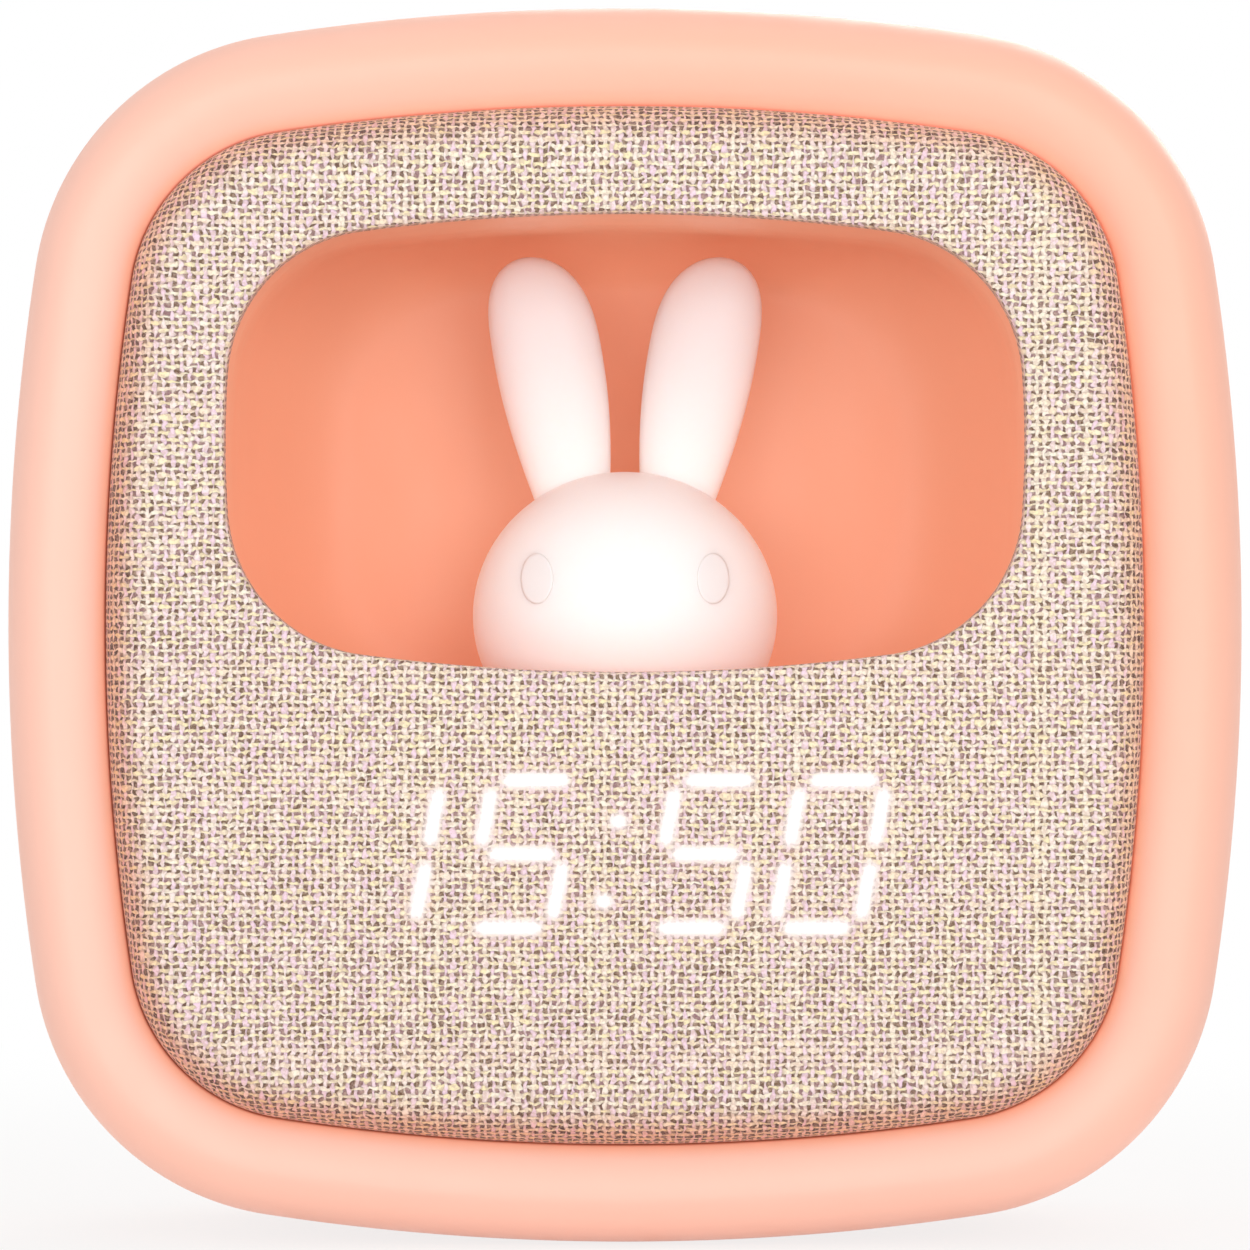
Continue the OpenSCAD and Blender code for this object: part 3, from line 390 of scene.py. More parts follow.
def make_mesh(name, points, faces, sharp=35, attributes=None):
    """Object with a smooth-shaded mesh. Points are in millimetres."""
    mesh = bpy.data.meshes.new(name)
    mesh.from_pydata((np.asarray(points) * MM).tolist(), [], faces)
    for key, values in (attributes or {}).items():
        if np.ndim(values) == 1:
            layer = mesh.attributes.new(key, "FLOAT", "POINT")
            layer.data.foreach_set("value", np.asarray(values, np.float32))
        else:
            layer = mesh.attributes.new(key, "FLOAT_VECTOR", "POINT")
            layer.data.foreach_set("vector", np.asarray(values, np.float32).ravel())
    mesh.shade_smooth()
    mesh.set_sharp_from_angle(angle=math.radians(sharp))
    mesh.update()
    piece = bpy.data.objects.new(name, mesh)
    scene.collection.objects.link(piece)
    return piece


def loft_faces(rows, around, closed=False):
    """Quads between rings that follow each other."""
    k = np.arange(around)
    faces = []
    for i in range(rows if closed else rows - 1):
        a, b = i * around, (i + 1) % rows * around
        faces.append(np.stack([a + k, b + k, b + (k + 1) % around, a + (k + 1) % around], 1))
    return np.concatenate(faces).tolist()


def capped_faces(rows, around):
    """Quads between rings, with a face over the first and the last ring."""
    last = (rows - 1) * around
    return loft_faces(rows, around) + [list(range(around)), list(range(last, last + around))[::-1]]


def loft(name, rings, closed=False, caps=False, sharp=35, attributes=None):
    """Object with a skin over rings of as many points each."""
    around = len(rings[0])
    faces = capped_faces(len(rings), around) if caps else loft_faces(len(rings), around, closed)
    return make_mesh(name, np.concatenate(rings), faces, sharp, attributes)


def tidy_normals(piece):
    """Turns the faces of closed shells outwards."""
    work = bmesh.new()
    work.from_mesh(piece.data)
    bmesh.ops.recalc_face_normals(work, faces=work.faces)
    work.to_mesh(piece.data)
    work.free()


def quarter_turn(steps):
    """Angles from 0 to 90 degrees."""
    return np.radians(np.linspace(0, 90, steps + 1))


def boolean(piece, cutter, operation="DIFFERENCE", sharp=35):
    """Cuts or joins the second solid, which goes away."""
    change = piece.modifiers.new("cut", "BOOLEAN")
    change.operation = operation
    change.solver = "EXACT"
    change.object = cutter
    bpy.context.view_layer.update()
    whole = piece.evaluated_get(bpy.context.evaluated_depsgraph_get())
    mesh = bpy.data.meshes.new_from_object(whole)
    piece.modifiers.clear()
    piece.data = mesh
    mesh.shade_smooth()
    mesh.set_sharp_from_angle(angle=math.radians(sharp))
    bpy.data.objects.remove(cutter)
    return piece


def joined(name, solids, sharp=35):
    """One mesh of several (points, faces) solids."""
    points, faces, count = [], [], 0
    for p, f in solids:
        points.append(np.asarray(p, float))
        faces += [[i + count for i in face] for face in f]
        count += len(p)
    piece = make_mesh(name, np.concatenate(points), faces, sharp)
    tidy_normals(piece)
    return piece


def box_solid(w, h, y0, y1, x=0, z=0):
    """Block from y0 to y1, with its middle at (x, z)."""
    corners = ((-1, -1), (1, -1), (1, 1), (-1, 1))
    points = [(x + a * w / 2, y, z + b * h / 2) for y in (y0, y1) for a, b in corners]
    faces = [(0, 1, 2, 3), (7, 6, 5, 4), (0, 4, 5, 1), (1, 5, 6, 2), (2, 6, 7, 3), (3, 7, 4, 0)]
    return points, faces


def around_y(profile, x, z, n):
    """Rings about an axis along Y through (x, z). The profile is [radius, y] pairs."""
    f = 2 * math.pi * np.arange(n) / n
    return np.concatenate(
        [np.stack([x + r * np.cos(f), np.full(n, float(y)), z + r * np.sin(f)], 1) for r, y in profile]
    )


def turned_solid(profile, x, z, n=64):
    """Solid turned about an axis along Y."""
    return around_y(profile, x, z, n), capped_faces(len(profile), n)


def rod_solid(d, y0, y1, x, z, n=48):
    return turned_solid([(d / 2, y0), (d / 2, y1)], x, z, n)


# ---- Case ----

BOSS_D = 9.5
BOSS = outline(CASE, BOSS_D)[COUNTS[0] + COUNTS[1] // 2]


def taper(y):
    """How far the case has drawn in behind its widest place."""
    return TAPER * max(0, (y - WIDEST_Y) / (SEAM_Y - WIDEST_Y)) ** 2


def make_front_shell():
    """Body, rolled rim and groove in one closed loft, with the pocket of the base pad cut into it."""
    inner_d = RIM_W - WALL
    inner_y = CREASE_Y + WALL
    profile = [(TAPER + EDGE, SEAM_Y), (TAPER, SEAM_Y - EDGE)]
    profile += [(taper(y), y) for y in np.linspace(SEAM_Y - 2, WIDEST_Y + 2, 12)]
    profile += [(RIDGE_D * (1 - math.cos(a)), WIDEST_Y - RIM_ROLL * math.sin(a)) for a in quarter_turn(24)]
    profile += [
        (RIDGE_D + (RIM_W - RIDGE_D) * math.sin(a), RIDGE_Y + CREASE_DROP * (1 - math.cos(a)))
        for a in quarter_turn(18)[1:]
    ]
    shelf_rows = 3
    front_rows = len(profile) + shelf_rows
    profile += [(RIM_W, SHELF_Y), (RIM_W + SHELF_W, SHELF_Y), (RIM_W + SHELF_W, SHELF_Y + SHELF_T)]
    profile += [(inner_d, SHELF_Y + SHELF_T), (inner_d, inner_y), (RIDGE_D, RIDGE_Y + WALL)]
    profile += [(WALL + 0.4, WIDEST_Y - 5), (WALL, WIDEST_Y), (WALL + TAPER, SEAM_Y)]
    around = len(outline(CASE, 0))
    groove = [
        min(1, max(0, (d - RIDGE_D) / (RIM_W - RIDGE_D))) if y < SHELF_Y + SHELF_T and k < front_rows else 0
        for k, (d, y) in enumerate(profile)
    ]
    shell = loft("case_front", [ring(CASE, d, y) for d, y in profile], closed=True,
                 attributes={"groove": np.repeat(groove, around)})
    tidy_normals(shell)
    pocket_w, reach = PAD[0] + 2 * PAD_GAP, PAD[1] / 2 + PAD_GAP
    seat_low, seat_top, pocket_low = 1.3, 6.5, -2
    seat = box_solid(pocket_w + 2 * SEAT_MARGIN, seat_top - seat_low, -reach - SEAT_MARGIN,
                     reach + SEAT_MARGIN, 0, (seat_top + seat_low) / 2)
    pocket = box_solid(pocket_w, PAD_TOP - pocket_low, -reach, reach, 0, (PAD_TOP + pocket_low) / 2)
    boolean(shell, joined("seat", [seat]), "UNION")
    boolean(shell, joined("pocket", [pocket]))
    return shell


SPEAKER = (-27, AXIS_Z - 33)
GRILLE_PITCH = 4.4
GRILLE_RINGS = 3
GRILLE_R = 1.1
BUTTON_X = (28, 14, 0, -14, -28)
BUTTON_Z = AXIS_Z + 34.7
CONTROL_X = 30
CONTROL_Z = AXIS_Z + 12
SWITCH_HOLE = (7.6, 3.6)
SOCKET_HOLE = (9.6, 3.9)
WELL_D = 6
WELL_FLOOR = 2.5
SCREW_HOLE_D = 3
RUN_GAP = 0.3
TRAY = (18.5, AXIS_Z - 26.5)
TRAY_T = 1.6
CELL_D = 10.5
CELL_LEN = 44.5
CELL_GAP = 0.3
CONTACT_LEN = 2.6
DOOR_T = 1.4
DOOR_STEP = 1.4
TAB_W = 10
TAB_RISE = 5.8
KEY_D = 9
KEY_PROUD = 2
KEY_TRAVEL = 0.8
BOARD_BACK_Y = COVER_IN_Y - 8.2
PLUNGER_H = 3.9
KEY_TIP_Y = BOARD_BACK_Y + PLUNGER_H + KEY_TRAVEL + RUN_GAP
KEYS = (("mode", "lines"), ("set", "ring"), ("up", "up"), ("down", "down"), ("alarm", "bell"))


def slot_solid(w, h, y0, y1, x, z, n=16):
    """Slot with round ends, w wide and h high, along Y."""
    f = np.radians(np.linspace(-90, 90, n + 1))
    right = np.stack([w / 2 - h / 2 + h / 2 * np.cos(f), h / 2 * np.sin(f)], 1)
    flat = np.concatenate([right, -right])
    points = [(x + a, y, z + b) for y in (y0, y1) for a, b in flat]
    m = len(flat)
    return points, loft_faces(2, m) + [list(range(m)), list(range(2 * m - 1, m - 1, -1))]


def flared_hole(r, flare, x, z, n):
    """Round hole through the rear wall that opens by flare at its outer face."""
    profile = [(r, COVER_IN_Y - 1), (r, BACK_Y - flare), (r + flare, BACK_Y), (r + flare, BACK_Y + 1)]
    return turned_solid(profile, x, z, n)


def cover_holes(corners):
    """Cutters for the screw wells, the keys, the switch, the socket and the speaker grille."""
    holes = [rod_solid(WELL_D, SEAM_Y + WELL_FLOOR, BACK_Y + 1, x, z) for x, z in corners]
    holes += [rod_solid(SCREW_HOLE_D, SEAM_Y - 1, SEAM_Y + WELL_FLOOR + 0.5, x, z) for x, z in corners]
    holes += [flared_hole(KEY_D / 2 + RUN_GAP, 0.35, x, BUTTON_Z, 64) for x in BUTTON_X]
    holes.append(box_solid(*SWITCH_HOLE, COVER_IN_Y - 1, BACK_Y + 1, -CONTROL_X, CONTROL_Z))
    holes.append(slot_solid(*SOCKET_HOLE, COVER_IN_Y - 1, BACK_Y + 1, CONTROL_X, CONTROL_Z))
    holes.append(flared_hole(GRILLE_R, 0.25, *SPEAKER, 24))
    for n in range(1, GRILLE_RINGS + 1):
        for i in range(6 * n):
            f = math.radians(60 * i / n)
            x, z = SPEAKER[0] + n * GRILLE_PITCH * math.cos(f), SPEAKER[1] + n * GRILLE_PITCH * math.sin(f)
            holes.append(flared_hole(GRILLE_R, 0.25, x, z, 24))
    return holes


def make_rear_cover():
    """Rear cover with its screw wells, its holes, and the window and seat of the battery door."""
    # A soft shoulder through the corners of the CAD profile
    outer = [(10, BACK_Y), (8.6, 27.9), (7.2, 27.6), (5.8, 27.07), (4.6, 26.3), (3.55, 25.3), (2.7, 24.1),
             (2.15, 23.0), (1.85, 22), (1.62, 21), (TAPER, SEAM_Y + EDGE), (TAPER + EDGE, SEAM_Y)]
    inner = [(TAPER + WALL, SEAM_Y), (4.6, COVER_IN_Y - 3.2), (5.8, COVER_IN_Y - 1.4),
             (7.6, COVER_IN_Y - 0.35), (9.4, COVER_IN_Y)]
    cover = loft("case_back", [ring(CASE, d, y) for d, y in outer + inner], caps=True)
    tidy_normals(cover)
    corners = [(sx * BOSS[0], AXIS_Z + sz * BOSS[1]) for sx in (-1, 1) for sz in (-1, 1)]
    wells = [rod_solid(WELL_D + 3, SEAM_Y, COVER_IN_Y + 1, x, z) for x, z in corners]
    boolean(cover, joined("wells", wells), "UNION")
    boolean(cover, joined("holes", cover_holes(corners)))
    tray_in = (3 * CELL_D + 2 * CELL_GAP, CELL_LEN + 2 * CONTACT_LEN)
    opening = tray_in[1] - 4
    door = (tray_in[0] + 2 * DOOR_STEP, opening + 2 * DOOR_STEP)
    seat_y = BACK_Y - DOOR_T - RUN_GAP
    tab_top = TRAY[1] + tray_in[1] / 2 + TRAY_T + TAB_RISE + RUN_GAP
    tab_bottom = TRAY[1] + door[1] / 2 - 1
    window = box_solid(tray_in[0], opening, COVER_IN_Y - 1, BACK_Y + 1, *TRAY)
    seat = box_solid(door[0] + 2 * RUN_GAP, door[1] + 2 * RUN_GAP, seat_y, BACK_Y + 1, *TRAY)
    tab = box_solid(TAB_W + 2 * RUN_GAP, tab_top - tab_bottom, seat_y, BACK_Y + 1,
                    TRAY[0], (tab_top + tab_bottom) / 2)
    for name, solid in (("window", window), ("seat", seat), ("tab", tab)):
        boolean(cover, joined(name, [solid]))
    return cover


def prism_solid(outline_2d, y0, y1, x, z):
    """Solid with a flat outline along Y. Its first coordinate runs to the right as seen from behind."""
    m = len(outline_2d)
    points = [(x - a, y, z + b) for y in (y0, y1) for a, b in outline_2d]
    return points, loft_faces(2, m) + [list(range(m))[::-1], list(range(m, 2 * m))]


def ring_solid(r0, r1, y0, y1, x, z, n=40):
    """Round tube along Y."""
    profile = [(r0, y0), (r1, y0), (r1, y1), (r0, y1)]
    return around_y(profile, x, z, n), loft_faces(len(profile), n, closed=True)


def sign_solids(sign, x, z, y0, y1):
    """Cutters for the sign on a key: lines, a ring, an arrow up or down, or a bell."""
    if sign == "lines":
        return [prism_solid([(-1.5, h - 0.2), (1.5, h - 0.2), (1.5, h + 0.2), (-1.5, h + 0.2)], y0, y1, x, z)
                for h in (-1, 0, 1)]
    if sign == "ring":
        return [ring_solid(0.95, 1.4, y0, y1, x, z)]
    if sign == "bell":
        dome = [(0.8 * math.cos(a), 0.45 + 0.8 * math.sin(a)) for a in np.radians(np.arange(0, 181, 15))]
        body = dome + [(-0.95, -0.3), (-1.4, -0.85), (1.4, -0.85), (0.95, -0.3)]
        clapper = [(-0.35, -1.4), (0.35, -1.4), (0.35, -1.05), (-0.35, -1.05)]
        return [prism_solid(body, y0, y1, x, z), prism_solid(clapper, y0, y1, x, z)]
    flip = 1 if sign == "up" else -1
    return [prism_solid([(-1.4, -0.9 * flip), (1.4, -0.9 * flip), (0, 1.3 * flip)], y0, y1, x, z)]


def make_key(name, x, sign):
    """Rear key: stem, flange, cap with a rounded edge and a shallow dish that holds its sign."""
    r, edge, top = KEY_D / 2, 0.9, BACK_Y + KEY_PROUD
    flange_y = COVER_IN_Y - RUN_GAP
    stem_r, flange_r, flange_t = 2, r + 1.2, 1.3
    profile = [(stem_r, KEY_TIP_Y), (stem_r, flange_y - flange_t), (flange_r, flange_y - flange_t)]
    profile += [(flange_r, flange_y), (r, flange_y)]
    profile += [(r - edge + edge * math.cos(a), top - edge + edge * math.sin(a)) for a in quarter_turn(8)]
    profile += [(r - edge - 0.25, top), (r - edge - 0.6, top - 0.1), (2.2, top - 0.22), (1.2, top - 0.28),
                (0.3, top - 0.3)]
    key = joined(name, [turned_solid(profile, x, BUTTON_Z, 72)], sharp=40)
    return boolean(key, joined("sign", sign_solids(sign, x, BUTTON_Z, top - 0.55, top + 1)), sharp=40)


# ---- Fabric ----

# Where the rolled border lies against the rim: distance inwards from the case's outline, and y
TOUCH = (10.7, -24.7)
ROLL_LEN = 9.0
FABRIC_COUNTS = (44, 60, 44)
FLAT_ROWS = 112
# Lit bars of each digit, by the usual letters of a seven-bar digit, and the heights of the colon's dots
LIT = {0: "bc", 1: "afgcd", 2: "afgcd", 3: "abcdef"}
DOTS = (3.4, -4.9)
BAR_REACH = 2.6
BAR_RISE = 2.1
UNLIT = 9.0


def lit_bars():
    """Axes of the lit bars, in x and z on the fabric, as pairs of end points."""
    half = DIGIT_H / 2
    across = {"a": half, "g": 0, "d": -half}
    upright = {"f": (-1, 1), "b": (1, 1), "e": (-1, -1), "c": (1, -1)}
    bars = []
    for i, names in LIT.items():
        for name in names:
            if name in across:
                z = across[name]
                ends = [(s * BAR_REACH, z) for s in (-1, 1)]
            else:
                sx, sz = upright[name]
                ends = [(sx * DIGIT_W / 2, sz * half / 2 + s * BAR_RISE) for s in (-1, 1)]
            bars.append([(DISPLAY_X + DIGIT_X[i] + x + SLANT * z, DISPLAY_Z + z) for x, z in ends])
    return bars


def lit_distance(x, z):
    """Distance in millimetres from the axis of the nearest lit bar, taken in the fabric's plane."""
    best = np.full(len(x), UNLIT)
    for (ax, az), (bx, bz) in lit_bars():
        long = math.hypot(bx - ax, bz - az)
        ux, uz = (bx - ax) / long, (bz - az) / long
        along = (x - ax) * ux + (z - az) * uz
        aside = np.abs((x - ax) * uz - (z - az) * ux)
        beyond = np.maximum(0, np.maximum(-along, along - long))
        best = np.minimum(best, np.hypot(aside, 0.85 * beyond))
    for rise in DOTS:
        cx = DISPLAY_X + COLON_X + SLANT * rise
        best = np.minimum(best, np.hypot((x - cx) * 0.9, z - DISPLAY_Z - rise) - 0.05)
    return best


def make_fabric():
    """Cloth from the rim's groove over the front to the hem behind the plate.

    Its points carry their place on the flat cloth and their depth in the groove, and how far they lie
    from the lit bars.
    """
    counts = FABRIC_COUNTS
    rings, weave = [], []

    def put(points, flat):
        rings.append(points)
        weave.append(flat)

    # Border, from the gap beside the rim to the flat
    touch_d, touch_y = TOUCH
    free = RIM_W + FACE_GAP
    for y, d in ((SHELF_Y, free), (-20, free), (-22, RIM_W + 0.18), (-23.6, RIM_W - 0.04)):
        put(ring(CASE, d, y, counts=counts), outline(CASE, BORDER_D - ROLL_LEN - (y - touch_y), counts))
    width, height = BORDER_D - touch_d, touch_y - FACE_Y - FACE_CROWN
    for a in quarter_turn(20)[:-1]:
        put(ring(CASE, touch_d + width * (1 - math.cos(a)), touch_y - height * math.sin(a), counts=counts),
            outline(CASE, BORDER_D - ROLL_LEN * (1 - a / (math.pi / 2)), counts))
    # Flat, from the border to the window
    border = outline(CASE, BORDER_D, counts)
    window = outline(WINDOW, -FABRIC_T, counts) + [0, WINDOW_Z - AXIS_Z]
    for s in np.linspace(0, 1, FLAT_ROWS + 1):
        flat = border * (1 - s) + window * s
        y = face_depth(flat[:, 0], flat[:, 1] + AXIS_Z)
        put(np.stack([flat[:, 0], y, flat[:, 1] + AXIS_Z], 1), flat)
    # Lip around the window's edge, the length through the plate, then the hem behind it
    for a in quarter_turn(6)[1:]:
        flat = outline(WINDOW, -FABRIC_T * (1 - math.sin(a)), counts) + [0, WINDOW_Z - AXIS_Z]
        y = face_depth(flat[:, 0], flat[:, 1] + AXIS_Z) + FABRIC_T * (1 - math.cos(a))
        put(np.stack([flat[:, 0], y, flat[:, 1] + AXIS_Z], 1),
            outline(WINDOW, FABRIC_T * (a - 1), counts) + [0, WINDOW_Z - AXIS_Z])
    edge_d = FABRIC_T * (math.pi / 2 - 1)
    through_len = 3
    start = rings[-1][:, 1]
    for s in (0.33, 0.66, 1.0):
        points = ring(WINDOW, 0, FLANGE_Y, WINDOW_Z, counts)
        points[:, 1] = start * (1 - s) + FLANGE_Y * s
        put(points, outline(WINDOW, edge_d + through_len * s, counts) + [0, WINDOW_Z - AXIS_Z])
    for s in (0.5, 1.0):
        put(ring(WINDOW, -HEM_W * s, FLANGE_Y, WINDOW_Z, counts),
            outline(WINDOW, edge_d + through_len + HEM_W * s, counts) + [0, WINDOW_Z - AXIS_Z])
    points = np.concatenate(rings)
    flat = np.concatenate(weave)
    on_front = points[:, 1] < FACE_Y + FACE_CROWN + 0.3
    lit = np.where(on_front, lit_distance(points[:, 0], points[:, 2]), UNLIT)
    depth = np.maximum(0, points[:, 1] - (FACE_Y + FACE_CROWN))
    weave_at = np.stack([flat[:, 0], flat[:, 1], depth], 1)
    return loft("woven_front", rings, attributes={"weave": weave_at, "lit": lit})


# ---- Alcove and figure ----


def cove(s, s0, r):
    """Inward curve of radius r, from the share s0 of the depth to the rear wall."""
    if s <= s0:
        return 0
    return r * (1 - math.sqrt(max(0, 1 - ((s - s0) / (1 - s0)) ** 2)))


def alcove_ring(s, d, dy):
    """Outline of the liner at the share s of its depth, moved inwards by d and back by dy."""
    side = WINDOW[0] - cove(s, 0.3, 12)
    top = WINDOW[1] - 0.6 * min(1, s / 0.25) - cove(s, 0.6, 6)
    low = WINDOW[1] + FLOOR_DROP - cove(s, 0.75, 5)
    shape = (side, (top + low) / 2, *WINDOW[2:])
    return ring(shape, d, FLANGE_Y + ALCOVE_DEPTH * s + dy, WINDOW_Z + (top - low) / 2)


def make_alcove():
    """Liner: flange, inner face to the rear wall, and the outer face behind it."""
    lip_y = FLANGE_Y + LINER_T
    lip_s = LINER_T / ALCOVE_DEPTH
    low_lap = FLOOR_DROP + LINER_T
    flange = (WINDOW[0] + 4, (2 * WINDOW[1] + 5 + low_lap) / 2, 210, 110, 16 + LINER_T)
    flange_z = WINDOW_Z + (5 - low_lap) / 2
    steps = [1 - (1 - s) ** 1.8 for s in np.linspace(lip_s, 1, 40)]
    back = alcove_ring(1, 0, 0)
    middle = np.array([0, FLANGE_Y + ALCOVE_DEPTH, WINDOW_Z - 5])
    inner = [middle + (back - middle) * s for s in (0.02, 0.25, 0.5, 0.75, 0.92)]
    inner += [alcove_ring(s, 0, 0) for s in steps[::-1]]
    front = [ring(WINDOW, 0, y, WINDOW_Z) for y in (lip_y, FLANGE_Y)]
    flange_rings = [ring(flange, 0, y, flange_z) for y in (FLANGE_Y, lip_y)]
    outer = [alcove_ring(lip_s, -LINER_T, 0)]
    outer += [alcove_ring(s, -LINER_T, LINER_T * s) for s in (0.25, 0.5, 0.7, 0.85, 0.94, 1)]
    liner = loft("niche", inner + front + flange_rings + outer, caps=True)
    tidy_normals(liner)
    boolean(liner, joined("seat", [floor_disc(BASE_D / 2 + RUN_GAP, BASE_SEAT_H)]), "UNION")
    boolean(liner, joined("hole", [floor_disc(LAMP_HOLE_R, 4)]))
    return liner


def upright_ring(r, z, n=96):
    """Circle about the figure's axis."""
    f = 2 * math.pi * np.arange(n) / n
    return np.stack([r * np.cos(f), FIGURE_Y + r * np.sin(f), np.full(n, z)], 1)


def floor_disc(r, reach):
    """Disc about the figure's axis, from reach below the alcove's floor to reach above it."""
    rings = [upright_ring(r, z) for z in (FLOOR_Z - reach, FLOOR_Z + reach)]
    return np.concatenate(rings), capped_faces(2, len(rings[0]))


EYE_SIDES = 48
EYE_FACE = 0.95
# Share of the oval, and height over the head
EYE_PROFILE = [(1.02, -0.8), (1.0, 0.0), (0.99, 0.12), (0.96, 0.19), (0.92, 0.22), (0.86, 0.23), (0.7, 0.23),
               (0.45, 0.23), (0.2, 0.23), (0.03, 0.23)]


def eye_solid(side):
    """Shallow oval pad that stands in front of the head by its profile's heights."""
    f = 2 * math.pi * np.arange(EYE_SIDES) / EYE_SIDES
    rings = []
    for share, height in EYE_PROFILE:
        x = side * EYE_X + share * EYE_SIZE[0] / 2 * np.cos(f)
        rise = EYE_RISE + share * EYE_SIZE[1] / 2 * np.sin(f)
        y = HEAD[1] * np.sqrt(1 - (x / HEAD[0]) ** 2 - (rise / HEAD[2]) ** 2) + height
        rings.append(np.stack([x, FIGURE_Y - y, HEAD_Z + rise], 1))
    return np.concatenate(rings), capped_faces(len(rings), EYE_SIDES)


def make_head():
    """Hollow head that is open at the neck. The faces of its eyes carry 1 in the attribute eye."""
    n, rows = 128, 72
    f = 2 * math.pi * np.arange(n) / n

    def level(a, t):
        half = [h - t for h in HEAD]
        r = math.cos(a)
        return np.stack([half[0] * r * np.cos(f), FIGURE_Y + half[1] * r * np.sin(f),
                         np.full(n, HEAD_Z + half[2] * math.sin(a))], 1)

    low = math.asin((NECK_Z - HEAD_Z) / HEAD[2])
    low_in = math.asin((NECK_Z - HEAD_Z) / (HEAD[2] - FIGURE_T))
    top = math.radians(89.6)
    outside = [level(a, 0) for a in np.linspace(top, low, rows)]
    inside = [level(a, FIGURE_T) for a in np.linspace(low_in, top, 24)]
    points = np.concatenate(outside + inside)
    faces = capped_faces(len(outside) + len(inside), n)
    head = joined("head", [(points, faces), eye_solid(-1), eye_solid(1)], sharp=50)
    pad = np.repeat([e < EYE_FACE for e, _ in EYE_PROFILE], EYE_SIDES)
    attribute = head.data.attributes.new("eye", "FLOAT", "POINT")
    attribute.data.foreach_set("value", np.concatenate([np.zeros(len(points)), pad, pad]).astype(np.float32))
    return head


def ear_width(t):
    """Width at the share t of the ear's length."""
    if t < EAR_WIDE_AT:
        return EAR_W * (EAR_ROOT + (1 - EAR_ROOT) * math.sin(math.pi / 2 * t / EAR_WIDE_AT))
    return EAR_W * math.sqrt(max(0, 1 - ((t - EAR_WIDE_AT) / (1 - EAR_WIDE_AT)) ** EAR_BLUNT))


def make_ear(name, side):
    """Flattened ear that leans outwards, with its root inside the head."""
    n = 48
    f = 2 * math.pi * np.arange(n) / n
    root_z = EAR_TIP_Z - EAR_LEN
    root_x = EAR_BASE_X - (HEAD_Z + HEAD[2] - root_z) * math.tan(EAR_LEAN)
    # Even steps to 0.8 of the length, then closer ones to the tip
    steps = [*np.linspace(0, 0.8, 24), *(1 - 0.2 * (1 - np.linspace(0, 0.995, 20)[1:]) ** 2)]
    rings = []
    for t in steps:
        w = ear_width(t)
        x = side * (root_x + EAR_LEN * t * math.tan(EAR_LEAN))
        rings.append(np.stack([x + w / 2 * np.cos(f), FIGURE_Y + EAR_SET_BACK + w * EAR_FLAT / 2 * np.sin(f),
                               np.full(n, root_z + EAR_LEN * t)], 1))
    ear = loft(name, rings, caps=True, sharp=60)
    tidy_normals(ear)
    return ear


def make_body():
    low = FLOOR_Z + BASE_SEAT_H + BASE_H
    r = BASE_D / 2
    profile = [
        (r - 1 - FIGURE_T, low), (r - 1, low), (r - 0.6, low + 0.3), (r - 0.42, low + 0.8),
        (r - 0.4, low + 1.2), (r - 0.6, low + 1.6), (r - 1.0, low + 2.1),
        (r - 1.6, NECK_Z), (r - 1.6 - FIGURE_T, NECK_Z)]
    neck = loft("figure_neck", [upright_ring(*at) for at in profile], closed=True, sharp=40)
    tidy_normals(neck)
    return neck


# ---- Materials ----


WARP_PITCH = 0.83
WEFT_PITCH = 0.755
WANDER = 0.4
KINK = 0.95
SLUB = 0.7


def round_profile(g, offset, half):
    """Height of a round thread at an offset from its middle, 0 beside it."""
    share = offset / half
    return g.math("SQRT", g.math("MAXIMUM", 1.0 - share * share, 0.0))


def thread_colors(g, i, j, u, v, warp_seed, weft_seed):
    """Colours of the warp and the weft, which drift along each thread."""
    warp_tint = g.noise(1.0, 2, 0.5, g.combine(i * 3.7, v * 0.55, 5.0))
    weft_tint = g.noise(1.0, 2, 0.5, g.combine(u * 0.5, j * 6.1, 8.0))
    warp = g.mix(g.smooth(warp_tint, 0.36, 0.62), rgb(255, 240, 236), rgb(244, 216, 236))
    warp = g.mix(g.smooth(warp_seed, 0.72, 0.9), warp, rgb(255, 244, 226))
    weft = g.mix(g.smooth(weft_tint, 0.36, 0.6), rgb(255, 248, 232), rgb(252, 240, 196))
    weft = g.mix(g.smooth(weft_seed, 0.6, 0.95) * 0.7, weft, rgb(255, 234, 216))
    return warp, weft


def hole_color(g, u, v, painted_light):
    """Gap between four threads, painted dark as the shade in it and darker still on the rolled border, with
    a tint of its own at random in each.
    """
    tint = g.random(g.combine(g.math("ROUND", u), g.math("ROUND", v), 3.0))
    hole = g.mix(tint, rgb(104, 68, 54), rgb(126, 102, 66))
    hole = g.mix(g.smooth(tint, 0.6, 0.8), hole, rgb(146, 108, 112))
    return g.mix(painted_light * 0.85, hole, rgb(72, 34, 26))


def painted_border_light(g, cloth, across, painted_light, depth):
    """Painted light on the rolled border: warm bounce light from the rim, and painted shade where it is
    tucked into the groove, both darker on the left and bottom than on the top and right.
    """
    shaded = g.smooth(across, 40.0, -50.0)
    bounce = g.mix(shaded, rgb(252, 226, 212), rgb(248, 204, 186))
    cloth = g.mix(1.0, cloth, g.mix(painted_light, [1, 1, 1, 1], bounce), "MULTIPLY")
    tucked = g.smooth(depth, 3.3, 4.6)
    return g.mix(tucked, cloth, g.mix(shaded, rgb(244, 160, 124), rgb(192, 96, 66)))


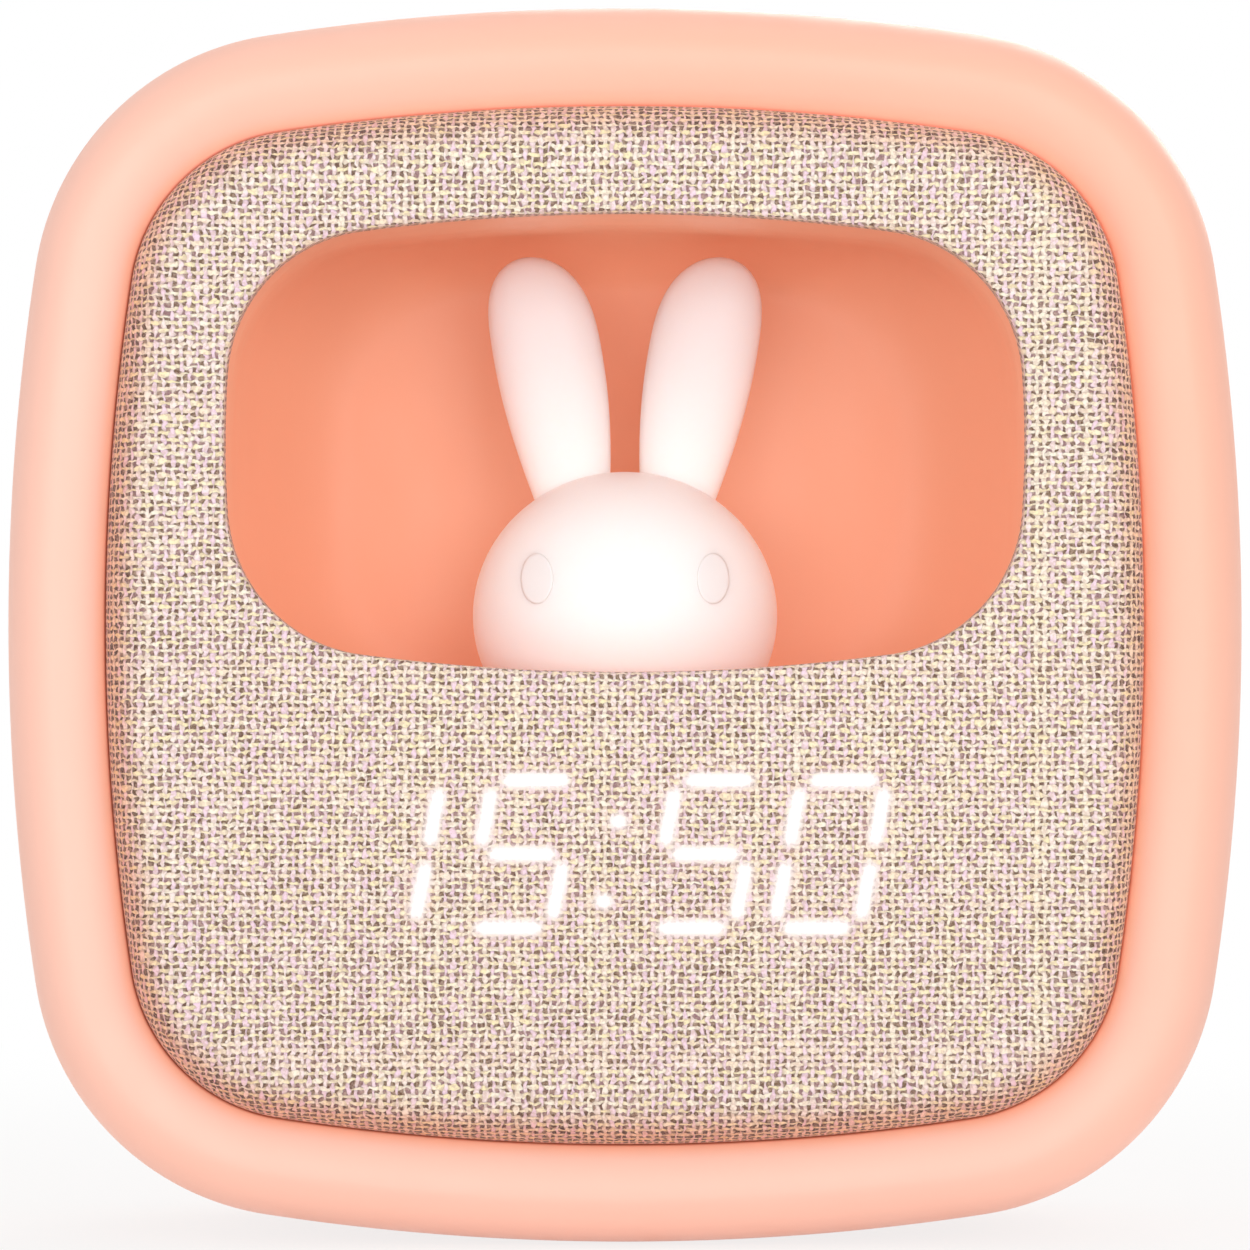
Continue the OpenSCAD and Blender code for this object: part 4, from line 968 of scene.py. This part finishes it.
def bar_light(g, body, cloth, covered, fibre):
    """Light of the bars, painted onto the cloth through the threads as a pale veil, emission and a pink
    halo. Returns how far it veils the cloth.
    """
    lit = g.attribute("lit")
    soft = lit + (covered * -0.08 + 0.04) + (fibre - 0.5) * 0.2
    veil = g.smooth(soft, 1.36, 0.36)
    core = g.smooth(lit, 1.02, 0.1)
    halo = g.smooth(lit, 2.6, 0.6)
    color = g.mix(halo * 0.1, cloth, rgb(255, 200, 196))
    g.put(body.inputs["Base Color"], g.mix(veil, color, rgb(251, 243, 241)))
    g.put(body.inputs["Emission Color"], g.mix(core, rgb(255, 200, 194), rgb(255, 250, 250)))
    g.put(body.inputs["Emission Strength"], core * core * 0.24 + halo * halo * 0.05)
    return veil


def weave_material():
    """Plain weave of cream weft and lilac-pink warp, with slubs and open holes, painted shade in the holes
    and on the threads, painted light on the rolled border, and the light of the lit bars behind it painted
    on.
    """
    material, g, body = shader("woven_fabric", Roughness=0.88, Sheen_Weight=0.25, Sheen_Roughness=0.5)
    body.inputs["Specular IOR Level"].default_value = 0.15
    place = g.attribute("weave", "Vector")
    x, z, depth = g.parts(place)
    wander_x = g.noise(0.32, 2, vector=place) - 0.5
    wander_z = g.noise(0.29, 2, vector=g.combine(z, x, 4.0)) - 0.5
    kink_x = g.noise(1.35, 1, vector=g.combine(x, z, 11.0)) - 0.5
    kink_z = g.noise(1.35, 1, vector=g.combine(x, z, 23.0)) - 0.5
    u = x * (1 / WARP_PITCH) + wander_x * WANDER + kink_x * KINK
    v = z * (1 / WEFT_PITCH) + wander_z * WANDER + kink_z * KINK
    i, j = g.math("FLOOR", u), g.math("FLOOR", v)
    a = g.math("ABSOLUTE", g.math("FRACT", u) - 0.5)
    b = g.math("ABSOLUTE", g.math("FRACT", v) - 0.5)
    over = g.math("PINGPONG", i + j, 1.0) * 2.0 - 1.0
    # Each thread's own width and slubs, from its number and the place along it
    warp_seed = g.random(g.combine(i, 7.3, 0.0))
    weft_seed = g.random(g.combine(3.1, j, 1.0))
    warp_slub = g.noise(1.0, 3, 0.7, g.combine(i * 5.3, v * 0.45, 2.0))
    weft_slub = g.noise(1.0, 3, 0.7, g.combine(u * 0.42, j * 4.7, 9.0))
    # How far into the rolled border: it thins the threads there and sets the painted bounce light and the
    # darker painted shade of the holes
    painted_light = g.smooth(depth, 0.0, 2.0)
    warp_half = warp_slub * SLUB + warp_seed * 0.06 - 0.11 - painted_light * 0.05
    weft_half = weft_slub * SLUB + weft_seed * 0.06 - 0.10 - painted_light * 0.05
    warp_round = round_profile(g, a, warp_half)
    weft_round = round_profile(g, b, weft_half)
    # Height of each thread where it runs over or under the other
    lift_warp = g.math("COSINE", b * math.pi) * over
    lift_weft = g.math("COSINE", a * math.pi) * over
    warp_on = g.math("GREATER_THAN", warp_round, 0.001)
    weft_on = g.math("GREATER_THAN", weft_round, 0.001)
    warp_high = warp_round * 0.5 + lift_warp * 0.42 + warp_on * 1.2
    weft_high = weft_round * 0.5 - lift_weft * 0.42 + weft_on * 1.2
    high = g.math("MAXIMUM", warp_high, weft_high)
    top_is_warp = g.math("GREATER_THAN", warp_high, weft_high)
    covered = g.smooth(g.math("MAXIMUM", warp_round, weft_round), 0.0, 0.75)
    grain = g.noise(2.4, 2, 0.6, place)
    fibre = g.noise(5.5, 2, 0.7, place)
    warp, weft = thread_colors(g, i, j, u, v, warp_seed, weft_seed)
    thread = g.mix(top_is_warp, weft, warp)
    # Painted shade: a thread is darker at its edges and where it sinks under the crossing one
    low_side = g.smooth(high, 0.9, 1.9, 0.55, 1.0)
    thread = g.mix(1.0, thread, g.combine(low_side, low_side * 0.97, low_side * 0.95), "MULTIPLY")
    cloth = g.mix(covered, hole_color(g, u, v, painted_light), thread)
    cloth = g.mix(g.smooth(grain, 0.58, 0.38) * 0.5, cloth, rgb(198, 170, 152))
    cloth = painted_border_light(g, cloth, x + z, painted_light, depth)
    cloth = g.mix(g.smooth(fibre, 0.3, 0.7, 0.0, 0.12), cloth, rgb(255, 250, 240))
    veil = bar_light(g, body, cloth, covered, fibre)
    height = (high + fibre * 0.25) * (1.0 - veil)
    g.put(body.inputs["Normal"], g.bump(height, 0.00016, 0.9))
    return material


def moulded(slot, color, rough=0.5, grain=0.00001, grain_scale=2600.0, mottle=0.03, glow=0.0, radius=None,
            painted_light=None):
    """Moulded plastic, rubber or silicone: fine spark grain, slight mottle and handling marks."""
    material, g, body = shader(slot, IOR=1.46)
    cloud = g.noise(45.0, 3)
    shade = 1.0 - (cloud - 0.5) * (2 * mottle)
    tint = g.combine(shade, shade, shade)
    # A function given here paints light and shade into the colour and the emission.
    if painted_light:
        color = painted_light(g, body, color)
    g.put(body.inputs["Base Color"], g.mix(1.0, color, tint, "MULTIPLY"))
    marks = g.noise(160.0, 5, 0.65, stretch=(1.0, 1.0, 0.35))
    g.put(body.inputs["Roughness"], g.smooth(marks, 0.3, 0.75, rough - 0.05, rough + 0.07))
    fine = g.noise(grain_scale, 2)
    pits = g.cells(grain_scale * 0.55)
    g.put(body.inputs["Normal"], g.bump(fine + pits * 0.5, grain, 0.6))
    if radius:
        body.inputs["Subsurface Weight"].default_value = glow
        body.inputs["Subsurface Radius"].default_value = radius
        body.inputs["Subsurface Scale"].default_value = 0.001
    return material


def metal(slot, color, rough=0.3, brushed=False):
    """Bare metal with fine marks, drawn out along Z when it is brushed."""
    material, g, body = shader(slot, Metallic=1.0)
    marks = g.noise(420.0, 4, 0.7, stretch=(1, 1, 0.08) if brushed else (1, 1, 1))
    dark = [c * 0.72 for c in color[:3]] + [1]
    g.put(body.inputs["Base Color"], g.mix(g.smooth(marks, 0.3, 0.8), color, dark))
    g.put(body.inputs["Roughness"], g.smooth(marks, 0.25, 0.8, rough, rough + 0.2))
    g.put(body.inputs["Normal"], g.bump(marks, 0.00001, 0.5))
    return material


def circuit(slot, color):
    """Solder-masked board with faint tracks."""
    material, g, body = shader(slot, Roughness=0.35, Coat_Weight=0.4)
    tracks = g.cells(420.0, "Color")
    lines = g.smooth(g.noise(300.0, 0, vector=tracks), 0.47, 0.53)
    light = [min(1, c * 1.35 + 0.02) for c in color[:3]] + [1]
    g.put(body.inputs["Base Color"], g.mix(lines * 0.5, color, light))
    g.put(body.inputs["Normal"], g.bump(lines, 0.00002, 0.6))
    return material


def fibrous(slot, color, rough, scale, depth):
    """Pressed paper or foam."""
    material, g, body = shader(slot)
    pores = g.cells(scale)
    fuzz = g.noise(scale * 1.7, 4, 0.7)
    light = [min(1, c * 1.6 + 0.01) for c in color[:3]] + [1]
    g.put(body.inputs["Base Color"], g.mix(fuzz, color, light))
    g.put(body.inputs["Roughness"], g.smooth(fuzz, 0.2, 0.8, rough - 0.1, rough))
    g.put(body.inputs["Normal"], g.bump(pores + fuzz * 0.5, depth, 0.8))
    return material


def painted_groove_light(g, body, color):
    """Painted light and shade on the case: glow and a deeper orange in the rim's groove, a painted shade
    line along the seam, a darker tone towards the top and right, and glow on faces turned down to the floor.
    """
    groove = g.attribute("groove")
    deep = g.smooth(groove, 0.68, 0.94)
    seam = g.smooth(groove, 0.895, 0.945)
    x, _, z = g.parts(g.place)
    # Painted shade by side: the case is darker and more orange towards the top and right
    drift = g.smooth(x + z, 0.03, 0.15)
    color = g.mix(drift, color, rgb(251, 188, 164))
    # Where the seam's painted shade shuts off the groove's painted glow, less so on the top and right
    shut = seam * (1.0 - drift * 0.8)
    # Painted light: faces turned down glow as if lit by the floor
    normal = g.parts(g.add("ShaderNodeNewGeometry").outputs["Normal"])
    below = g.smooth(normal[2], -0.15, -0.85)
    g.put(body.inputs["Emission Strength"], deep * (1.0 - shut) * 0.17 + below * 0.12)
    g.put(body.inputs["Emission Color"], g.mix(below, GROOVE_PAINTED_GLOW, PEACH))
    # Painted shade: a dark line along the seam in the groove, lighter on the top and right
    seam_shade_color = g.mix(drift, rgb(204, 104, 72), rgb(252, 166, 128))
    return g.mix(seam, g.mix(deep, color, rgb(250, 184, 156)), seam_shade_color)


def painted_alcove_glow(g, body, color):
    """Painted light: the liner glows, strong at the alcove's floor and faint at its ceiling, with more on
    the side walls and a little in the middle behind the figure.
    """
    x, _, z = g.parts(g.place)
    body.inputs["Emission Color"].default_value = rgb(255, 182, 146)
    aside = g.math("ABSOLUTE", x)
    glow = g.smooth(z, 0.052, 0.102, 0.10, 0.03)
    glow = glow + g.smooth(aside, 0.030, 0.048) * 0.16 + g.smooth(aside, 0.020, 0.004) * 0.06
    g.put(body.inputs["Emission Strength"], glow)
    return color


def painted_figure_glow(g, body, color):
    """Painted light: the head glows, the eyes' pads glow a little more, and the glow fades out up the ears,
    whose colour turns a greyer pink there.
    """
    rise = g.parts(g.place)[2]
    body.inputs["Emission Color"].default_value = rgb(255, 244, 240)
    eye = g.attribute("eye")
    g.put(body.inputs["Emission Strength"], g.smooth(rise, 0.076, 0.100, 0.05, 0.0) + eye * 0.07)
    return g.mix(g.smooth(rise, 0.078, 0.100), color, rgb(236, 226, 226))


PEACH = rgb(252, 198, 179)
# Colour of the painted glow in the rim's groove
GROOVE_PAINTED_GLOW = [1.0, 0.44, 0.28, 1]
MATERIALS = {
    "case_plastic": moulded("case_plastic", PEACH, 0.46, 0.000006, 2400.0, 0.012, painted_light=painted_groove_light),
    "alcove_plastic": moulded("alcove_plastic", rgb(239, 173, 142), 0.5, 0.000006, 2400.0, 0.02,
                              painted_light=painted_alcove_glow),
    "figure_silicone": moulded("figure_silicone", rgb(252, 246, 244), 0.42, 0.000003, 3000.0, 0.008, 0.35,
                               (2.8, 2.3, 2.0), painted_figure_glow),
    "fascia_plastic": moulded("fascia_plastic", rgb(236, 222, 198), 0.5),
    "white_plastic": moulded("white_plastic", rgb(238, 236, 230), 0.45),
    "black_plastic": moulded("black_plastic", rgb(30, 30, 32), 0.4, 0.00002),
    "ribbon_plastic": moulded("ribbon_plastic", rgb(226, 226, 220), 0.35),
    "slider_plastic": moulded("slider_plastic", rgb(92, 86, 84), 0.5, 0.00002),
    "button_rubber": moulded("button_rubber", rgb(246, 168, 140), 0.55, 0.00001, 2000.0, 0.02),
    "pad_rubber": moulded("pad_rubber", rgb(232, 226, 220), 0.7, 0.00003, 1800.0, 0.05),
    "lead_red": moulded("lead_red", rgb(196, 40, 34), 0.4),
    "lead_white": moulded("lead_white", rgb(236, 234, 228), 0.4),
    "lamp_resin": moulded("lamp_resin", rgb(250, 238, 190), 0.25),
    "diffuser_film": moulded("diffuser_film", rgb(246, 246, 246), 0.35),
    "segment_resin": moulded("segment_resin", rgb(255, 252, 248), 0.3),
    "cell_wrap": moulded("cell_wrap", rgb(206, 164, 78), 0.3),
    "bright_metal": metal("bright_metal", rgb(214, 214, 212), 0.22),
    "spring_steel": metal("spring_steel", rgb(196, 196, 196), 0.28),
    "screw_steel": metal("screw_steel", rgb(178, 178, 182), 0.3, True),
    "dark_steel": metal("dark_steel", rgb(92, 94, 98), 0.4),
    "magnet_steel": metal("magnet_steel", rgb(168, 168, 172), 0.32, True),
    "green_board": circuit("green_board", rgb(22, 98, 58)),
    "white_board": circuit("white_board", rgb(226, 228, 226)),
    "cone_paper": fibrous("cone_paper", rgb(34, 33, 34), 0.95, 900.0, 0.00008),
    "foam_black": fibrous("foam_black", rgb(28, 28, 30), 1.0, 1400.0, 0.0002),
    "woven_fabric": weave_material(),
}

for node in nodes.values():
    for k, slot in enumerate(node.material_slots):
        node.material_slots[k].material = MATERIALS[slot.material.name.split(".")[0]]


# ---- Pieces and what they stand for ----


def place(piece, slot, *replaced, body="housing"):
    """Gives a piece its material, the body that it rides on and the nodes that it stands for."""
    piece.data.materials.clear()
    piece.data.materials.append(MATERIALS[slot])
    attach(piece, body)
    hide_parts(*replaced)
    return piece


place(make_front_shell(), "case_plastic", "front_shell")
place(make_rear_cover(), "case_plastic", "rear_cover")
fabric = place(make_fabric(), "woven_fabric", "fabric_cover")
place(make_alcove(), "alcove_plastic", "alcove_liner")
place(make_head(), "figure_silicone", "rabbit_head")
place(make_ear("ear_left", -1), "figure_silicone", "rabbit_ear_left")
place(make_ear("ear_right", 1), "figure_silicone", "rabbit_ear_right")
place(make_body(), "figure_silicone", "rabbit_body")

for (name, sign), x in zip(KEYS, BUTTON_X):
    place(make_key(f"key_{name}", x, sign), "button_rubber", f"{name}_button", body=f"{name}_key")

bpy.context.view_layer.update()
